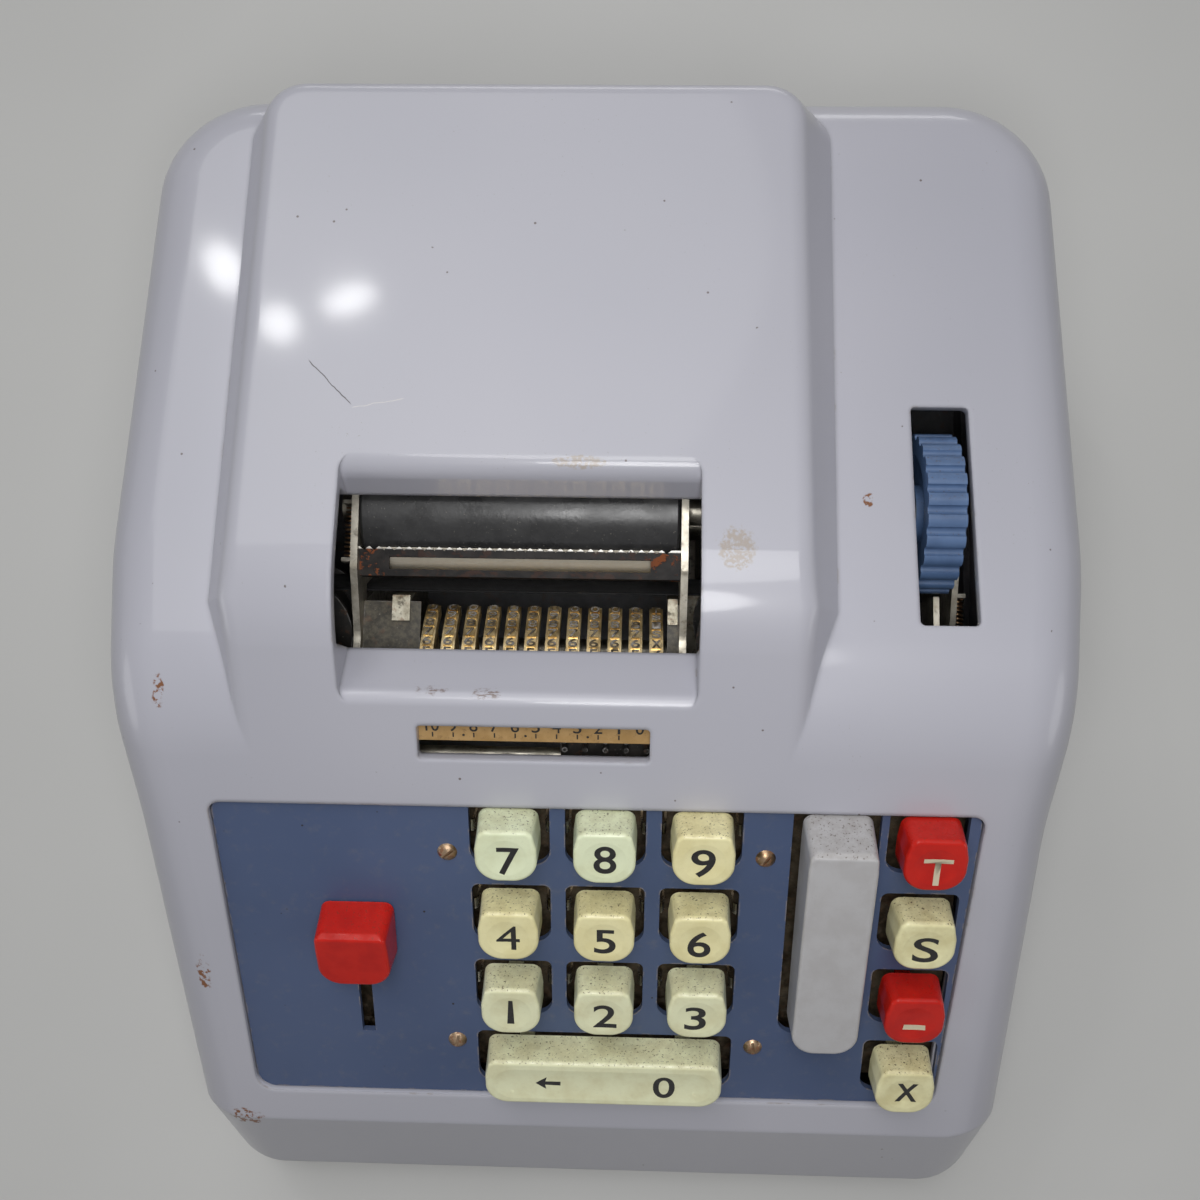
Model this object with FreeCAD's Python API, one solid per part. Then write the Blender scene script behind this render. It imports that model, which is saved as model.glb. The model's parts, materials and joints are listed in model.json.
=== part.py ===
import FreeCAD, Part
import os
from math import atan2, cos, pi, radians, sin, tan
from FreeCAD import Placement, Rotation, Vector

os.makedirs("parts", exist_ok=True)

# Frame: X to the right, Y to the rear, Z up, the origin on the table. X is measured here from the
# middle of the front wall. The steps are moved across to have the origin under the middle of the machine.

# Casing in plan
REAR_Y = 121.5                # rear wall
FRONT_Y = -121.5              # foot of the front wall
REAR_HALF_WIDTH = 97.5        # half width beside the hump
WAIST_HALF_WIDTH = 92.3       # half width at the top of the keyboard
FRONT_HALF_WIDTH = 89.5       # half width at the front wall
MIDDLE_X = -2.4               # middle of the casing behind the keyboard
FLARE_REAR_Y = 16.0           # where the sides begin to draw in
WAIST_Y = -32.0                # where they reach the keyboard
REAR_CORNER_R = 24.0
FRONT_CORNER_R = 14.0
FLARE_R = 90.0

# Casing in side view
BASE_Z = 6.0                  # lower rim of the casing, above the table
APRON_Z = 20.0                # foot of the sloping front wall
CREASE_Y = -104.0             # upper edge of the front wall
SLOPE_DEG = 30.0              # keyboard slope
ROW_Y = -37.1                 # top key row on the keyboard surface
ROW_Z = 84.0
SHOULDER_Y = -11.7            # ridge between keyboard slope and shoulders
SHOULDER_FALL_DEG = 8.5
SHOULDER_RIDGE_R = 36.0
RIM_R = 12.0                  # rounding of the upper side edges
NOSE_LENGTH = 60.0            # how far the slope is drawn on before the front wall cuts it
WALL = 2.4                    # casing wall

# Hump over the printing unit
HUMP_X = -15.5                # its middle line
HUMP_TOP_HALF_WIDTH = 53.7
HUMP_RIDGE_Y = 6.3
HUMP_FALL_DEG = 7.0
HUMP_RIDGE_R = 30.0
HUMP_REAR_Y = 113.3           # rear edge of its top
HUMP_WALL_DEG = 27.0          # lean of its side walls
HUMP_REAR_DEG = 9.0           # lean of its rear wall
HUMP_ROOT = 20.0              # depth of its walls below the shoulders
HUMP_CORNER_R = 9.0
HUMP_EDGE_R = 4.0

# Printing window in the hump
WINDOW_WIDTH = 67.5
WINDOW_FRONT_Y = -11.1        # upper edge of the front scoop, before its rounding
WINDOW_FRONT_R = 3.0
WINDOW_REAR_Y = 30.9          # upper edge of the rear scoop, before its rounding
WINDOW_REAR_R = 4.5
WINDOW_SKIN = 0.02            # rise of the window's tool over the surface, so that the two cross
OPENING_FRONT_Y = -1.5        # inner edge of the front scoop
OPENING_FRONT_Z = 92.0
OPENING_REAR_Y = 27.5         # inner edge of the rear scoop
OPENING_REAR_Z = 98.0
WINDOW_CORNER_R = 4.0
SCOOP_WALL = 2.0

# Thumbwheel window in the right shoulder
WHEEL_WINDOW_X = 66.0
WHEEL_WINDOW_WIDTH = 11.4
WHEEL_WINDOW_FRONT_Y = 4.2
WHEEL_WINDOW_REAR_Y = 48.4

# Register window, along the keyboard slope from the top key row
REGISTER_X = -12.65
REGISTER_WIDTH = 44.4
REGISTER_UP = 20.3
REGISTER_HEIGHT = 7.3

# Keyboard opening and panel, along the keyboard slope
PANEL_X = -1.2
PANEL_REAR_HALF_WIDTH = 76.0
PANEL_FRONT_HALF_WIDTH = 74.0
PANEL_UP = 6.0                # rear edge, up the slope from the top key row
PANEL_DOWN = -68.6            # front edge
PANEL_REAR_CORNER_R = 2.5
PANEL_FRONT_CORNER_R = 4.5
PANEL_GAP = 0.3               # gap around the panel
PANEL_SINK = 1.0              # its face below the casing's surface
LEDGE_REACH = 1.3             # width of the ledge under its rim
LEDGE_DEPTH = 1.6

# Mains inlet in the rear wall
INLET_INSET = 42.5             # from the casing's side
INLET_X = MIDDLE_X + REAR_HALF_WIDTH - INLET_INSET
INLET_Z = 30.0
INLET_WIDTH = 30.0
INLET_HEIGHT = 22.0
INLET_DEPTH = 18.0
SOCKET_WIDTH = 20.0
SOCKET_HEIGHT = 12.0
INLET_PIN_R = 2.0
INLET_PIN_SPREAD = 11.0
INLET_PIN_LENGTH = 11.0

# Cover screws
BOSS_R = 5.0
BOSS_TOP_Z = 44.0
BOSS_PILOT_R = 1.7
BOSS_INSET = 9.8              # from the casing's side
BOSS_SCREW_DEPTH = 14.0
BOSS_FRONT_Y = -88.0
BOSS_REAR_Y = 92.0

# Base pan
PAN_THICKNESS = 1.6
PAN_RIM = 9.0                 # height of its turned-up edge
PAN_GAP = 0.3                 # gap to the casing's wall
PAN_SCREW_HOLE_R = 2.3
FOOT_R = 9.0
FOOT_PLUG_R = 3.0
FOOT_LIP = 1.2                # how far a foot's plug reaches under the pan's hole edge
FOOT_FRONT_INSET = 23.5       # from the casing's half width
FOOT_FRONT_Y = -99.0
FOOT_REAR_INSET = 24.5
FOOT_REAR_Y = 101.0
PAN_SLOTS = 6                 # cooling slots under the motor
PAN_SLOT_PITCH = 8.0
PAN_SLOT_HALF_LENGTH = 12.0
SCREW_HEAD_R = 3.6
SCREW_HEAD_HEIGHT = 2.0

# General fits
FIT = 0.05                    # radial clearance of a shaft or pin in its hole
SLIDE_GAP = 0.2               # gap between pieces that slide on each other
REST_GAP = 0.3                # gap between pieces that only pass each other
BEYOND = 2 * REAR_Y           # further than any face of the machine

# Keys, on the slope from the middle of the machine and from the top key row
KEY_PITCH = 19.05
DIGIT_X = 1.2                 # middle digit column
RIGHT_COLUMN_X = 64.4
KEY_HOLE_WIDTH = 16.0
RIGHT_HOLE_WIDTH = 15.6
KEY_HOLE_UP = 6.1
KEY_HOLE_DOWN = -8.0
KEY_HOLE_FRONT_R = 3.5
KEY_HOLE_REAR_R = 1.5
CAP_FOOT = -0.5               # underside of a cap off the keyboard surface, above the panel's face
CAP_REAR = 5.6                # rear of a cap's foot
CAP_WIDTH = 11.9
CAP_FLARE = 0.3               # how much wider each flank is at the foot
CAP_TAPER = 1.1               # how much narrower each flank is at the ridge
CAP_RIDGE_UP = 4.7
CAP_RIDGE_HEIGHT = 7.2
CAP_SHOULDER = 4.6            # from the ridge to the full width
CAP_SHOULDER_R = 3.0
CAP_RIDGE_R = 2.0
CAP_FRONT = -6.7
CAP_FRONT_HEIGHT = 6.4
CAP_FRONT_R = 4.8
CAP_FRONT_LEAN = 0.4          # how far the foot stands before the face's front
CAP_BEHIND = 0.5              # narrow slope behind the ridge
CAP_EDGE_R = 0.8
CAP_DISH_R = 30.0
CAP_DISH_DEPTH = 0.3
BAR_KEY_WIDTH = 49.6
BAR_HOLE_WIDTH = 54.4
BAR_STEM_SPREAD = 17.0
MOTOR_BAR_X = 46.5
MOTOR_BAR_WIDTH = 13.2
MOTOR_BAR_TAPER = 0.3
MOTOR_BAR_UP = 2.4            # its ridge
MOTOR_BAR_DOWN = -47.6        # its front
MOTOR_BAR_HEIGHT = 9.8
MOTOR_BAR_FRONT_HEIGHT = 7.1
MOTOR_STEMS = (-7.0, -38.0)
MOTOR_HOLE_WIDTH = 17.2
MOTOR_HOLE_DOWN = -49.6
STEM_WIDTH = 3.2
STEM_THICKNESS = 1.4
STEM_SOCKET = 4.0             # depth of the stem in its cap
STEM_BELOW = 3.5              # length of the stem below the lower guide plate
COLLAR_WIDTH = 6.0
COLLAR_HEIGHT = 1.0
UPPER_PLATE_W = -8.0          # underside of the upper guide plate, off the slope
LOWER_PLATE_W = -24.0         # underside of the lower guide plate
PLATE_THICKNESS = 1.0
PLATE_LEFT = -58.0
PLATE_RIGHT = 73.0
PLATE_UP = 4.0
PLATE_DOWN = -66.0
STEM_GAP = 0.15               # around a stem in a guide plate
SPRING_R = 3.0
SPRING_WIRE_R = 0.35
COLLAR_GAP = 1.5              # collar below the upper guide plate

# Panel screws and keyboard posts
PANEL_SCREW_X = 1.3
PANEL_SCREW_SPREAD = 31.7
PANEL_SCREW_UP = -5.3
PANEL_SCREW_DOWN = -53.8
PANEL_SCREW_HEAD_R = 2.0
PANEL_SCREW_HEAD_HEIGHT = 1.1
PANEL_SCREW_R = 1.15
PANEL_SCREW_LENGTH = 7.0
POST_R = 2.6
POST_NECK_R = 1.9
LEG_R = 3.5
LEG_INSET = 5.0

# Slider lever
LEVER_X = -49.4
LEVER_UP = -24.3              # its rest place, at the rear end of its slot
LEVER_TRAVEL = 25.0
LEVER_SLOT_WIDTH = 2.8
LEVER_SLOT_CLEAR = 0.6        # from the arm to the slot's ends
LEVER_ARM_THICKNESS = 1.2
LEVER_ARM_LENGTH = 4.0
LEVER_SHOE_WIDTH = 8.0
LEVER_SHOE_LENGTH = 12.0
LEVER_SHOE_HEIGHT = 1.6
KNOB_WIDTH = 14.5
KNOB_TAPER = 0.2
KNOB_REAR = 6.7               # rear of its foot behind the arm
KNOB_RIDGE_UP = 3.7
KNOB_HEIGHT = 8.2
KNOB_FRONT = -9.3
KNOB_FRONT_HEIGHT = 5.8

# Register
SCALE_THICKNESS = 0.4
SCALE_OVERLAP = 3.0           # how far the strip reaches behind the window's ends
SCALE_UP = 19.5               # its lower edge, up the slope
SCALE_HEIGHT = 6.8
RAIL_R = 1.5
RAIL_UP = (11.0, 17.0)        # the two rails, up the slope
RAIL_W = -12.0
CARRIAGE_WIDTH = 22.0
CARRIAGE_LEFT = -8.0          # its left end at rest
CARRIAGE_DOWN = 8.5
CARRIAGE_UP = 19.6
CARRIAGE_LOW = -15.0
CARRIAGE_HIGH = -9.0
PIN_R = 0.55
PIN_PITCH = 4.0
PIN_HIGH = -5.2

# Printing unit
FRAME_LEFT_X = -50.0          # outer face of the left side frame
FRAME_RIGHT_X = 15.2          # inner face of the right side frame
FRAME_THICKNESS = 1.4
FRAME_FLANGE = 9.0
PLATEN_Y = 28.7
PLATEN_Z = 79.7
PLATEN_R = 12.7
PLATEN_SHAFT_R = 3.0
WHEEL_X = WHEEL_WINDOW_X
WHEEL_WIDTH = 7.5
WHEEL_R = 16.3
WHEEL_RIBS = 24
RIBBON_LEAN_DEG = 21.8        # lean of the ribbon from upright, its top to the front
RIBBON_GAP = 3.5              # from the platen to the ribbon
RIBBON_WIDTH = 12.7
RIBBON_THICKNESS = 0.25
SPOOL_LEFT_X = -64.0
SPOOL_RIGHT_X = 31.0
SPOOL_FLANGE_R = 12.0
SPOOL_FLANGE = 1.0
SPOOL_CORE_R = 4.0
SPOOL_PACK_R = 9.0
SPOOL_PIN_R = 2.0
SECTOR_COUNT = 12
SECTOR_FIRST_X = -34.8
SECTOR_PITCH = 4.13
SECTOR_R = 28.0
SECTOR_GAP = 1.2              # from the sectors' rims to the ribbon
SECTOR_RIM = 2.6
SECTOR_RIM_WIDTH = 2.7
SECTOR_WEB = 1.0
SECTOR_HUB_R = 5.0
SECTOR_SHAFT_R = 2.5
SECTOR_FROM_DEG = 38.0        # type rim at rest, above the horizontal
SECTOR_TO_DEG = 87.0
TYPE_COUNT = 10
TYPE_HEIGHT = 0.4
TYPE_WIDTH = 1.8
TYPE_LENGTH = 1.9
TIE_R = 3.0
CAM_TIES = ((4.0, 18.0), (54.0, 20.0), (44.0, 62.0))
DETENT_GAP = 1.0              # from the thumbwheel to its bracket
DETENT_THICKNESS = 1.2
SPOOL_GAP = 0.1               # from the wound ribbon to the free stretch
SPOOL_BRACKET_HALF = 8.0
SECTOR_PLATE_Z = 82.6
SECTOR_PLATE_FRONT = -4.0
SECTOR_PLATE_REAR = 8.8
SECTOR_PLATE_THICKNESS = 0.8
SECTOR_PLATE_GAP = 0.9        # beside the outer sectors
GUIDE_LEFT_X = -41.0
GUIDE_RIGHT_X = 13.9
COIL_R = 1.0
COIL_WIRE_R = 0.22
COIL_PITCH = 0.88
COIL_LUG = 0.8
FRAME_COIL_PLACE = (FRAME_LEFT_X - 1.35, 17.0, 85.2)
FRAME_COIL_TURNS = 12
WHEEL_COIL_PLACE = (WHEEL_X + 7.7, 3.2, 72.0)
WHEEL_COIL_TURNS = 10

# Tear bar and paper
TEAR_REACH_DEG = 45.0         # where the serrated edge stands over the platen
TEAR_GAP = 1.2                # from the platen
TEAR_THICKNESS = 0.8
TEAR_FRONT_Y = 13.3
TEAR_FRONT_DROP = 2.0
TEAR_LIP = 2.4
TEAR_SLOT_WIDTH = 52.0
TOOTH_PITCH = 2.0
TOOTH_DEPTH = 0.7
PAPER_WIDTH = 57.0
PAPER_THICKNESS = 0.15
PAPER_GAP = 0.2
PAPER_FROM_DEG = -60.0        # below the horizontal, on the platen's front
PAPER_TO_DEG = 41.0

# Drive
MOTOR_Y = 88.0
MOTOR_Z = 40.0
MOTOR_R = 25.0
MOTOR_LEFT_X = -62.0
MOTOR_RIGHT_X = 2.0
MOTOR_SHAFT_R = 3.0
CAM_Y = 34.0
CAM_Z = 36.0
CAM_SHAFT_R = 4.0
PULLEY_X = 26.0
PULLEY_WIDTH = 8.0
DRIVE_PULLEY_R = 8.0
CAM_PULLEY_R = 24.0
BELT_THICKNESS = 1.5
BELT_GAP = 0.1
PULLEY_FLANGE = 1.0
PULLEY_FLANGE_HEIGHT = 2.5
MOTOR_WALL = 2.2
MOTOR_BEARING_R = 7.0
MOTOR_FOOT_WIDTH = 10.0
MOTOR_VENTS = 8
MOTOR_VENT_LOW = 12.0         # each vent's ends, out from the shaft
MOTOR_VENT_HIGH = 19.0
MOTOR_VENT_WIDTH = 3.2
FIELD_LEFT_X = -46.0
FIELD_RIGHT_X = -16.0
ROTOR_R = 14.0
ROTOR_GAP = 0.5
FAN_BLADES = 8
CAM_R = 13.0
CAM_THROW = 4.0
CAM_COUNT = 6

# Helpers


def corner_points(before, corner, after, radius):
    """Start, middle and end of the tangent arc that rounds one corner."""
    to_before = (before - corner).normalize()
    to_after = (after - corner).normalize()
    half = to_before.getAngle(to_after) / 2
    reach = radius / tan(half)
    inward = (to_before + to_after).normalize()
    centre = corner + inward * (radius / sin(half))
    return corner + to_before * reach, centre - inward * radius, corner + to_after * reach


def rounded_wire(corners, place):
    """Closed wire through (a, b, radius) corners, each rounded by a tangent arc."""
    points = [place(a, b) for a, b, radius in corners]
    count = len(corners)
    edges = []
    ends = []
    for i in range(count):
        radius = corners[i][2]
        if radius > 0:
            start, middle, end = corner_points(points[i - 1], points[i], points[(i + 1) % count], radius)
            ends.append((start, end))
            edges.append(Part.Arc(start, middle, end).toShape())
        else:
            ends.append((points[i], points[i]))
    for i in range(count):
        start = ends[i][1]
        end = ends[(i + 1) % count][0]
        if (end - start).Length > 1e-6:
            edges.append(Part.LineSegment(start, end).toShape())
    return Part.Wire(Part.__sortEdges__(edges))


def inset_corners(corners, inset):
    """The same outline, counter-clockwise, with each side moved inward."""
    count = len(corners)
    lines = []
    for i in range(count):
        ax, ay = corners[i][:2]
        bx, by = corners[(i + 1) % count][:2]
        length = ((bx - ax) ** 2 + (by - ay) ** 2) ** 0.5
        nx, ny = -(by - ay) / length, (bx - ax) / length
        lines.append((nx, ny, nx * ax + ny * ay + inset))
    moved = []
    for i in range(count):
        n1x, n1y, c1 = lines[i - 1]
        n2x, n2y, c2 = lines[i]
        det = n1x * n2y - n2x * n1y
        radius = corners[i][2]
        radius = max(radius - inset, 0.6) if radius > 0 else 0
        moved.append(((c1 * n2y - c2 * n1y) / det, (n1x * c2 - n2x * c1) / det, radius))
    return moved


def prism(wire, along):
    """Solid made by moving a closed flat wire."""
    return Part.Face(wire).extrude(along)


def box(x0, x1, y0, y1, z0, z1):
    """Box between two corners."""
    return Part.makeBox(x1 - x0, y1 - y0, z1 - z0, Vector(x0, y0, z0))


def rod_x(x0, x1, y, z, radius):
    """Round bar along X."""
    return Part.makeCylinder(radius, x1 - x0, Vector(x0, y, z), Vector(1, 0, 0))


def fuse(shapes):
    """One solid from touching or overlapping ones."""
    joined = shapes[0].multiFuse(shapes[1:]) if len(shapes) > 1 else shapes[0]
    return joined.removeSplitter()


def keyboard_z(y):
    """Height of the keyboard surface at a place along the machine."""
    return ROW_Z + (y - ROW_Y) * tan(radians(SLOPE_DEG))


SHOULDER_Z = keyboard_z(SHOULDER_Y)
HUMP_RIDGE_Z = keyboard_z(HUMP_RIDGE_Y)
CREASE_Z = keyboard_z(CREASE_Y)


def shoulder_z(y):
    """Height of the shoulders behind their ridge."""
    return SHOULDER_Z - (y - SHOULDER_Y) * tan(radians(SHOULDER_FALL_DEG))


def hump_z(y):
    """Height of the hump's top behind its ridge."""
    return HUMP_RIDGE_Z - (y - HUMP_RIDGE_Y) * tan(radians(HUMP_FALL_DEG))


SLOPE = Placement(Vector(0, ROW_Y, ROW_Z), Rotation(Vector(1, 0, 0), SLOPE_DEG))


def on_slope(shape):
    """Lay a shape made flat at the origin on the keyboard slope."""
    laid = shape.copy()
    laid.Placement = SLOPE.multiply(laid.Placement)
    return laid


# Casing


def side_middle(y):
    """Middle of the casing at a place along it."""
    return MIDDLE_X * min(1.0, (y - FRONT_Y) / (WAIST_Y - FRONT_Y))


def plan_corners(front_y):
    """Outline of the casing in plan, counter-clockwise."""
    lean = (WAIST_HALF_WIDTH - FRONT_HALF_WIDTH) / (WAIST_Y - FRONT_Y)
    front_half = WAIST_HALF_WIDTH - lean * (WAIST_Y - front_y)
    right = [
        (front_half, front_y, FRONT_CORNER_R),
        (WAIST_HALF_WIDTH, WAIST_Y, FLARE_R),
        (REAR_HALF_WIDTH, FLARE_REAR_Y, FLARE_R),
        (REAR_HALF_WIDTH, REAR_Y, REAR_CORNER_R),
    ]
    left = [(-x, y, radius) for x, y, radius in reversed(right)]
    return [(side_middle(y) + x, y, radius) for x, y, radius in right + left]


def casing_profile(bottom):
    """Side view of the body without its front wall, counter-clockwise."""
    nose_y = FRONT_Y - NOSE_LENGTH
    return [
        (nose_y, bottom, 0),
        (REAR_Y, bottom, 0),
        (REAR_Y, shoulder_z(REAR_Y), 0),
        (SHOULDER_Y, SHOULDER_Z, SHOULDER_RIDGE_R),
        (nose_y, keyboard_z(nose_y), 0),
    ]


def plan_wire(front_y, z, inset):
    """Plan outline at one height."""
    return rounded_wire(inset_corners(plan_corners(front_y), inset), lambda x, y: Vector(x, y, z))


def front_limit(inset, bottom):
    """Plan shape of the casing with its sloping front wall and round front corners."""
    lean = (CREASE_Y - FRONT_Y) / (CREASE_Z - APRON_Z)
    top_z = HUMP_RIDGE_Z
    top_front_y = FRONT_Y + lean * (top_z - APRON_Z)
    apron = prism(plan_wire(FRONT_Y, bottom, inset), Vector(0, 0, APRON_Z - bottom))
    slope_inset = inset * (1 + lean ** 2) ** 0.5 - inset
    lower = plan_wire(FRONT_Y + slope_inset, APRON_Z, inset)
    upper = plan_wire(top_front_y + slope_inset, top_z, inset)
    return apron, Part.makeLoft([lower, upper], True, True)


def is_rim(edge, above):
    """Whether an edge belongs to the upper rim of the casing's sides and rear."""
    middle = (edge.FirstParameter + edge.LastParameter) / 2
    point = edge.valueAt(middle)
    upright = abs(edge.tangentAt(middle).z) > 0.95
    across = abs(point.x) < HUMP_TOP_HALF_WIDTH and point.y < REAR_Y - WALL - 1
    return point.z > above and point.y > FRONT_Y - 20 and not upright and not across


def casing_body(inset, bottom):
    """Solid body of the casing without its hump, or the space inside it."""
    corners = inset_corners(casing_profile(bottom), inset)
    slab = prism(rounded_wire(corners, lambda y, z: Vector(-BEYOND, y, z)), Vector(2 * BEYOND, 0, 0))
    height = HUMP_RIDGE_Z + 10 - bottom
    long_plan = prism(plan_wire(FRONT_Y - 40.0, bottom, inset), Vector(0, 0, height))
    body = slab.common(long_plan).Solids[0]
    body = body.makeFillet(RIM_R - inset, [e for e in body.Edges if is_rim(e, APRON_Z)])
    return body.common(fuse(list(front_limit(inset, bottom)))).Solids[0]


SHOULDER_ARC = SHOULDER_RIDGE_R * tan(radians((SLOPE_DEG + SHOULDER_FALL_DEG) / 2))
HUMP_FRONT_Y = SHOULDER_Y - SHOULDER_ARC * cos(radians(SLOPE_DEG))


def hump_profile():
    """Side view of the hump, counter-clockwise; its front leaves the keyboard slope where the shoulders do."""
    rear_z = hump_z(HUMP_REAR_Y)
    root_z = shoulder_z(HUMP_REAR_Y) - HUMP_ROOT
    root_y = HUMP_REAR_Y + (rear_z - root_z) * tan(radians(HUMP_REAR_DEG))
    return [
        (HUMP_FRONT_Y, keyboard_z(HUMP_FRONT_Y) - HUMP_ROOT, 0),
        (root_y, root_z, 0),
        (HUMP_REAR_Y, rear_z, 0),
        (HUMP_RIDGE_Y, HUMP_RIDGE_Z, HUMP_RIDGE_R),
        (HUMP_FRONT_Y, keyboard_z(HUMP_FRONT_Y), 0),
    ]


def hump_wedge(rise_deg, inset):
    """Long wedge with the hump's leaning side walls, its top edges along one of its surfaces."""
    reach = 180.0
    depth = 160.0
    lean = tan(radians(HUMP_WALL_DEG))
    top_half = HUMP_TOP_HALF_WIDTH - inset / cos(radians(HUMP_WALL_DEG))
    rise = tan(radians(rise_deg))

    def corner(side, below):
        z = HUMP_RIDGE_Z - reach * rise - below
        return Vector(HUMP_X + side * (top_half + below * lean), HUMP_RIDGE_Y - reach, z)

    over = -30
    spots = [corner(-1, depth), corner(1, depth), corner(1, over), corner(-1, over)]
    section = Part.makePolygon(spots + spots[:1])
    return prism(section, Vector(0, 2 * reach, 2 * reach * rise))


def hump_body(inset):
    """Solid hump, or the space inside it."""
    half = HUMP_TOP_HALF_WIDTH + HUMP_ROOT + 20
    corners = inset_corners(hump_profile(), inset)
    slab = prism(rounded_wire(corners, lambda y, z: Vector(HUMP_X - half, y, z)), Vector(2 * half, 0, 0))
    walls = hump_wedge(-HUMP_FALL_DEG, inset).common(hump_wedge(SLOPE_DEG, inset))
    body = slab.common(walls).Solids[0]
    rear = [e for e in body.Edges if is_hump_corner(e)]
    body = body.makeFillet(HUMP_CORNER_R - inset, rear)
    top = [e for e in body.Edges if is_hump_edge(e)]
    return body.makeFillet(HUMP_EDGE_R - inset, top)


def is_hump_corner(edge):
    """Whether an edge is one of the hump's two upright rear corners."""
    middle = (edge.FirstParameter + edge.LastParameter) / 2
    return abs(edge.tangentAt(middle).z) > 0.8 and edge.valueAt(middle).y > HUMP_REAR_Y - 5


def is_hump_edge(edge):
    """Whether an edge runs round the hump's top."""
    middle = (edge.FirstParameter + edge.LastParameter) / 2
    point = edge.valueAt(middle)
    surface = min(keyboard_z(point.y), hump_z(point.y))
    tangent = edge.tangentAt(middle)
    across = abs(tangent.x) > 0.95 and point.y < HUMP_REAR_Y - 10
    return surface - point.z < 5.0 and not across and abs(tangent.z) < 0.8 and point.y > HUMP_FRONT_Y + 0.1


def slope_prism(corners, low, high):
    """Solid with an outline (across, up the slope, radius) between two heights off the slope."""
    wire = rounded_wire(corners, lambda u, v: Vector(u, v, low))
    return on_slope(prism(wire, Vector(0, 0, high - low)))


def slope_box(u0, u1, v0, v1, low, high):
    """Box laid on the slope."""
    return on_slope(box(u0, u1, v0, v1, low, high))


def keyboard_corners(grow):
    """Outline of the keyboard opening on the slope, moved outward by grow."""
    corners = [
        (PANEL_X - PANEL_FRONT_HALF_WIDTH, PANEL_DOWN, PANEL_FRONT_CORNER_R),
        (PANEL_X + PANEL_FRONT_HALF_WIDTH, PANEL_DOWN, PANEL_FRONT_CORNER_R),
        (PANEL_X + PANEL_REAR_HALF_WIDTH, PANEL_UP, PANEL_REAR_CORNER_R),
        (PANEL_X - PANEL_REAR_HALF_WIDTH, PANEL_UP, PANEL_REAR_CORNER_R),
    ]
    return inset_corners(corners, -grow)


def keyboard_ledge():
    """Ledge under the rim of the keyboard opening, on its sides and front."""
    foot = -WALL - LEDGE_DEPTH
    ring = slope_prism(keyboard_corners(LEDGE_REACH), foot, -WALL + 0.2)
    hole = slope_prism(keyboard_corners(-LEDGE_REACH), foot - 1, 1)
    side = PANEL_REAR_HALF_WIDTH + 9
    rear = slope_box(-side, side, PANEL_UP - 6, PANEL_UP + 9, foot - 1, 1)
    return ring.cut(hole).cut(rear)


WINDOW_LEFT = HUMP_X - WINDOW_WIDTH / 2
WINDOW_RIGHT = HUMP_X + WINDOW_WIDTH / 2


def scoop(edge_y, edge_z, inner_y, inner_z, surface):
    """Sloping lip of the printing window with its two cheeks."""
    side = 1 if inner_y > edge_y else -1
    length = ((inner_y - edge_y) ** 2 + (inner_z - edge_z) ** 2) ** 0.5
    down_y = side * (inner_z - edge_z) / length * SCOOP_WALL
    down_z = -side * (inner_y - edge_y) / length * SCOOP_WALL
    back_y = edge_y - side * SCOOP_WALL
    under_edge = (edge_y + down_y, edge_z + down_z)
    under_inner = (inner_y + down_y, inner_z + down_z)
    lip = [under_edge, under_inner, (inner_y, inner_z), (edge_y, edge_z)]
    cheek_top = [(inner_y, surface(inner_y) - 0.6), (edge_y, edge_z - 0.6)]
    cheek = [under_edge, under_inner, (inner_y, inner_z)] + cheek_top
    x0 = WINDOW_LEFT - SCOOP_WALL
    lip_solid = flat_solid(lip, x0, WINDOW_WIDTH + 2 * SCOOP_WALL)
    cheeks = [flat_solid(cheek, x, SCOOP_WALL) for x in (x0, WINDOW_RIGHT)]
    return fuse([lip_solid] + cheeks)


def flat_solid(side_corners, x, width):
    """Solid with a straight-sided outline in side view."""
    points = [Vector(x, y, z) for y, z in side_corners]
    return prism(Part.makePolygon(points + points[:1]), Vector(width, 0, 0))


def edge_reach(fall_deg, run, drop, radius):
    """How far a scoop's rounded upper edge reaches along the machine, beyond its sharp edge."""
    turn = radians(fall_deg) + atan2(drop, run)
    return radius * tan(turn / 2) * cos(radians(fall_deg)) + 0.3


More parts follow.
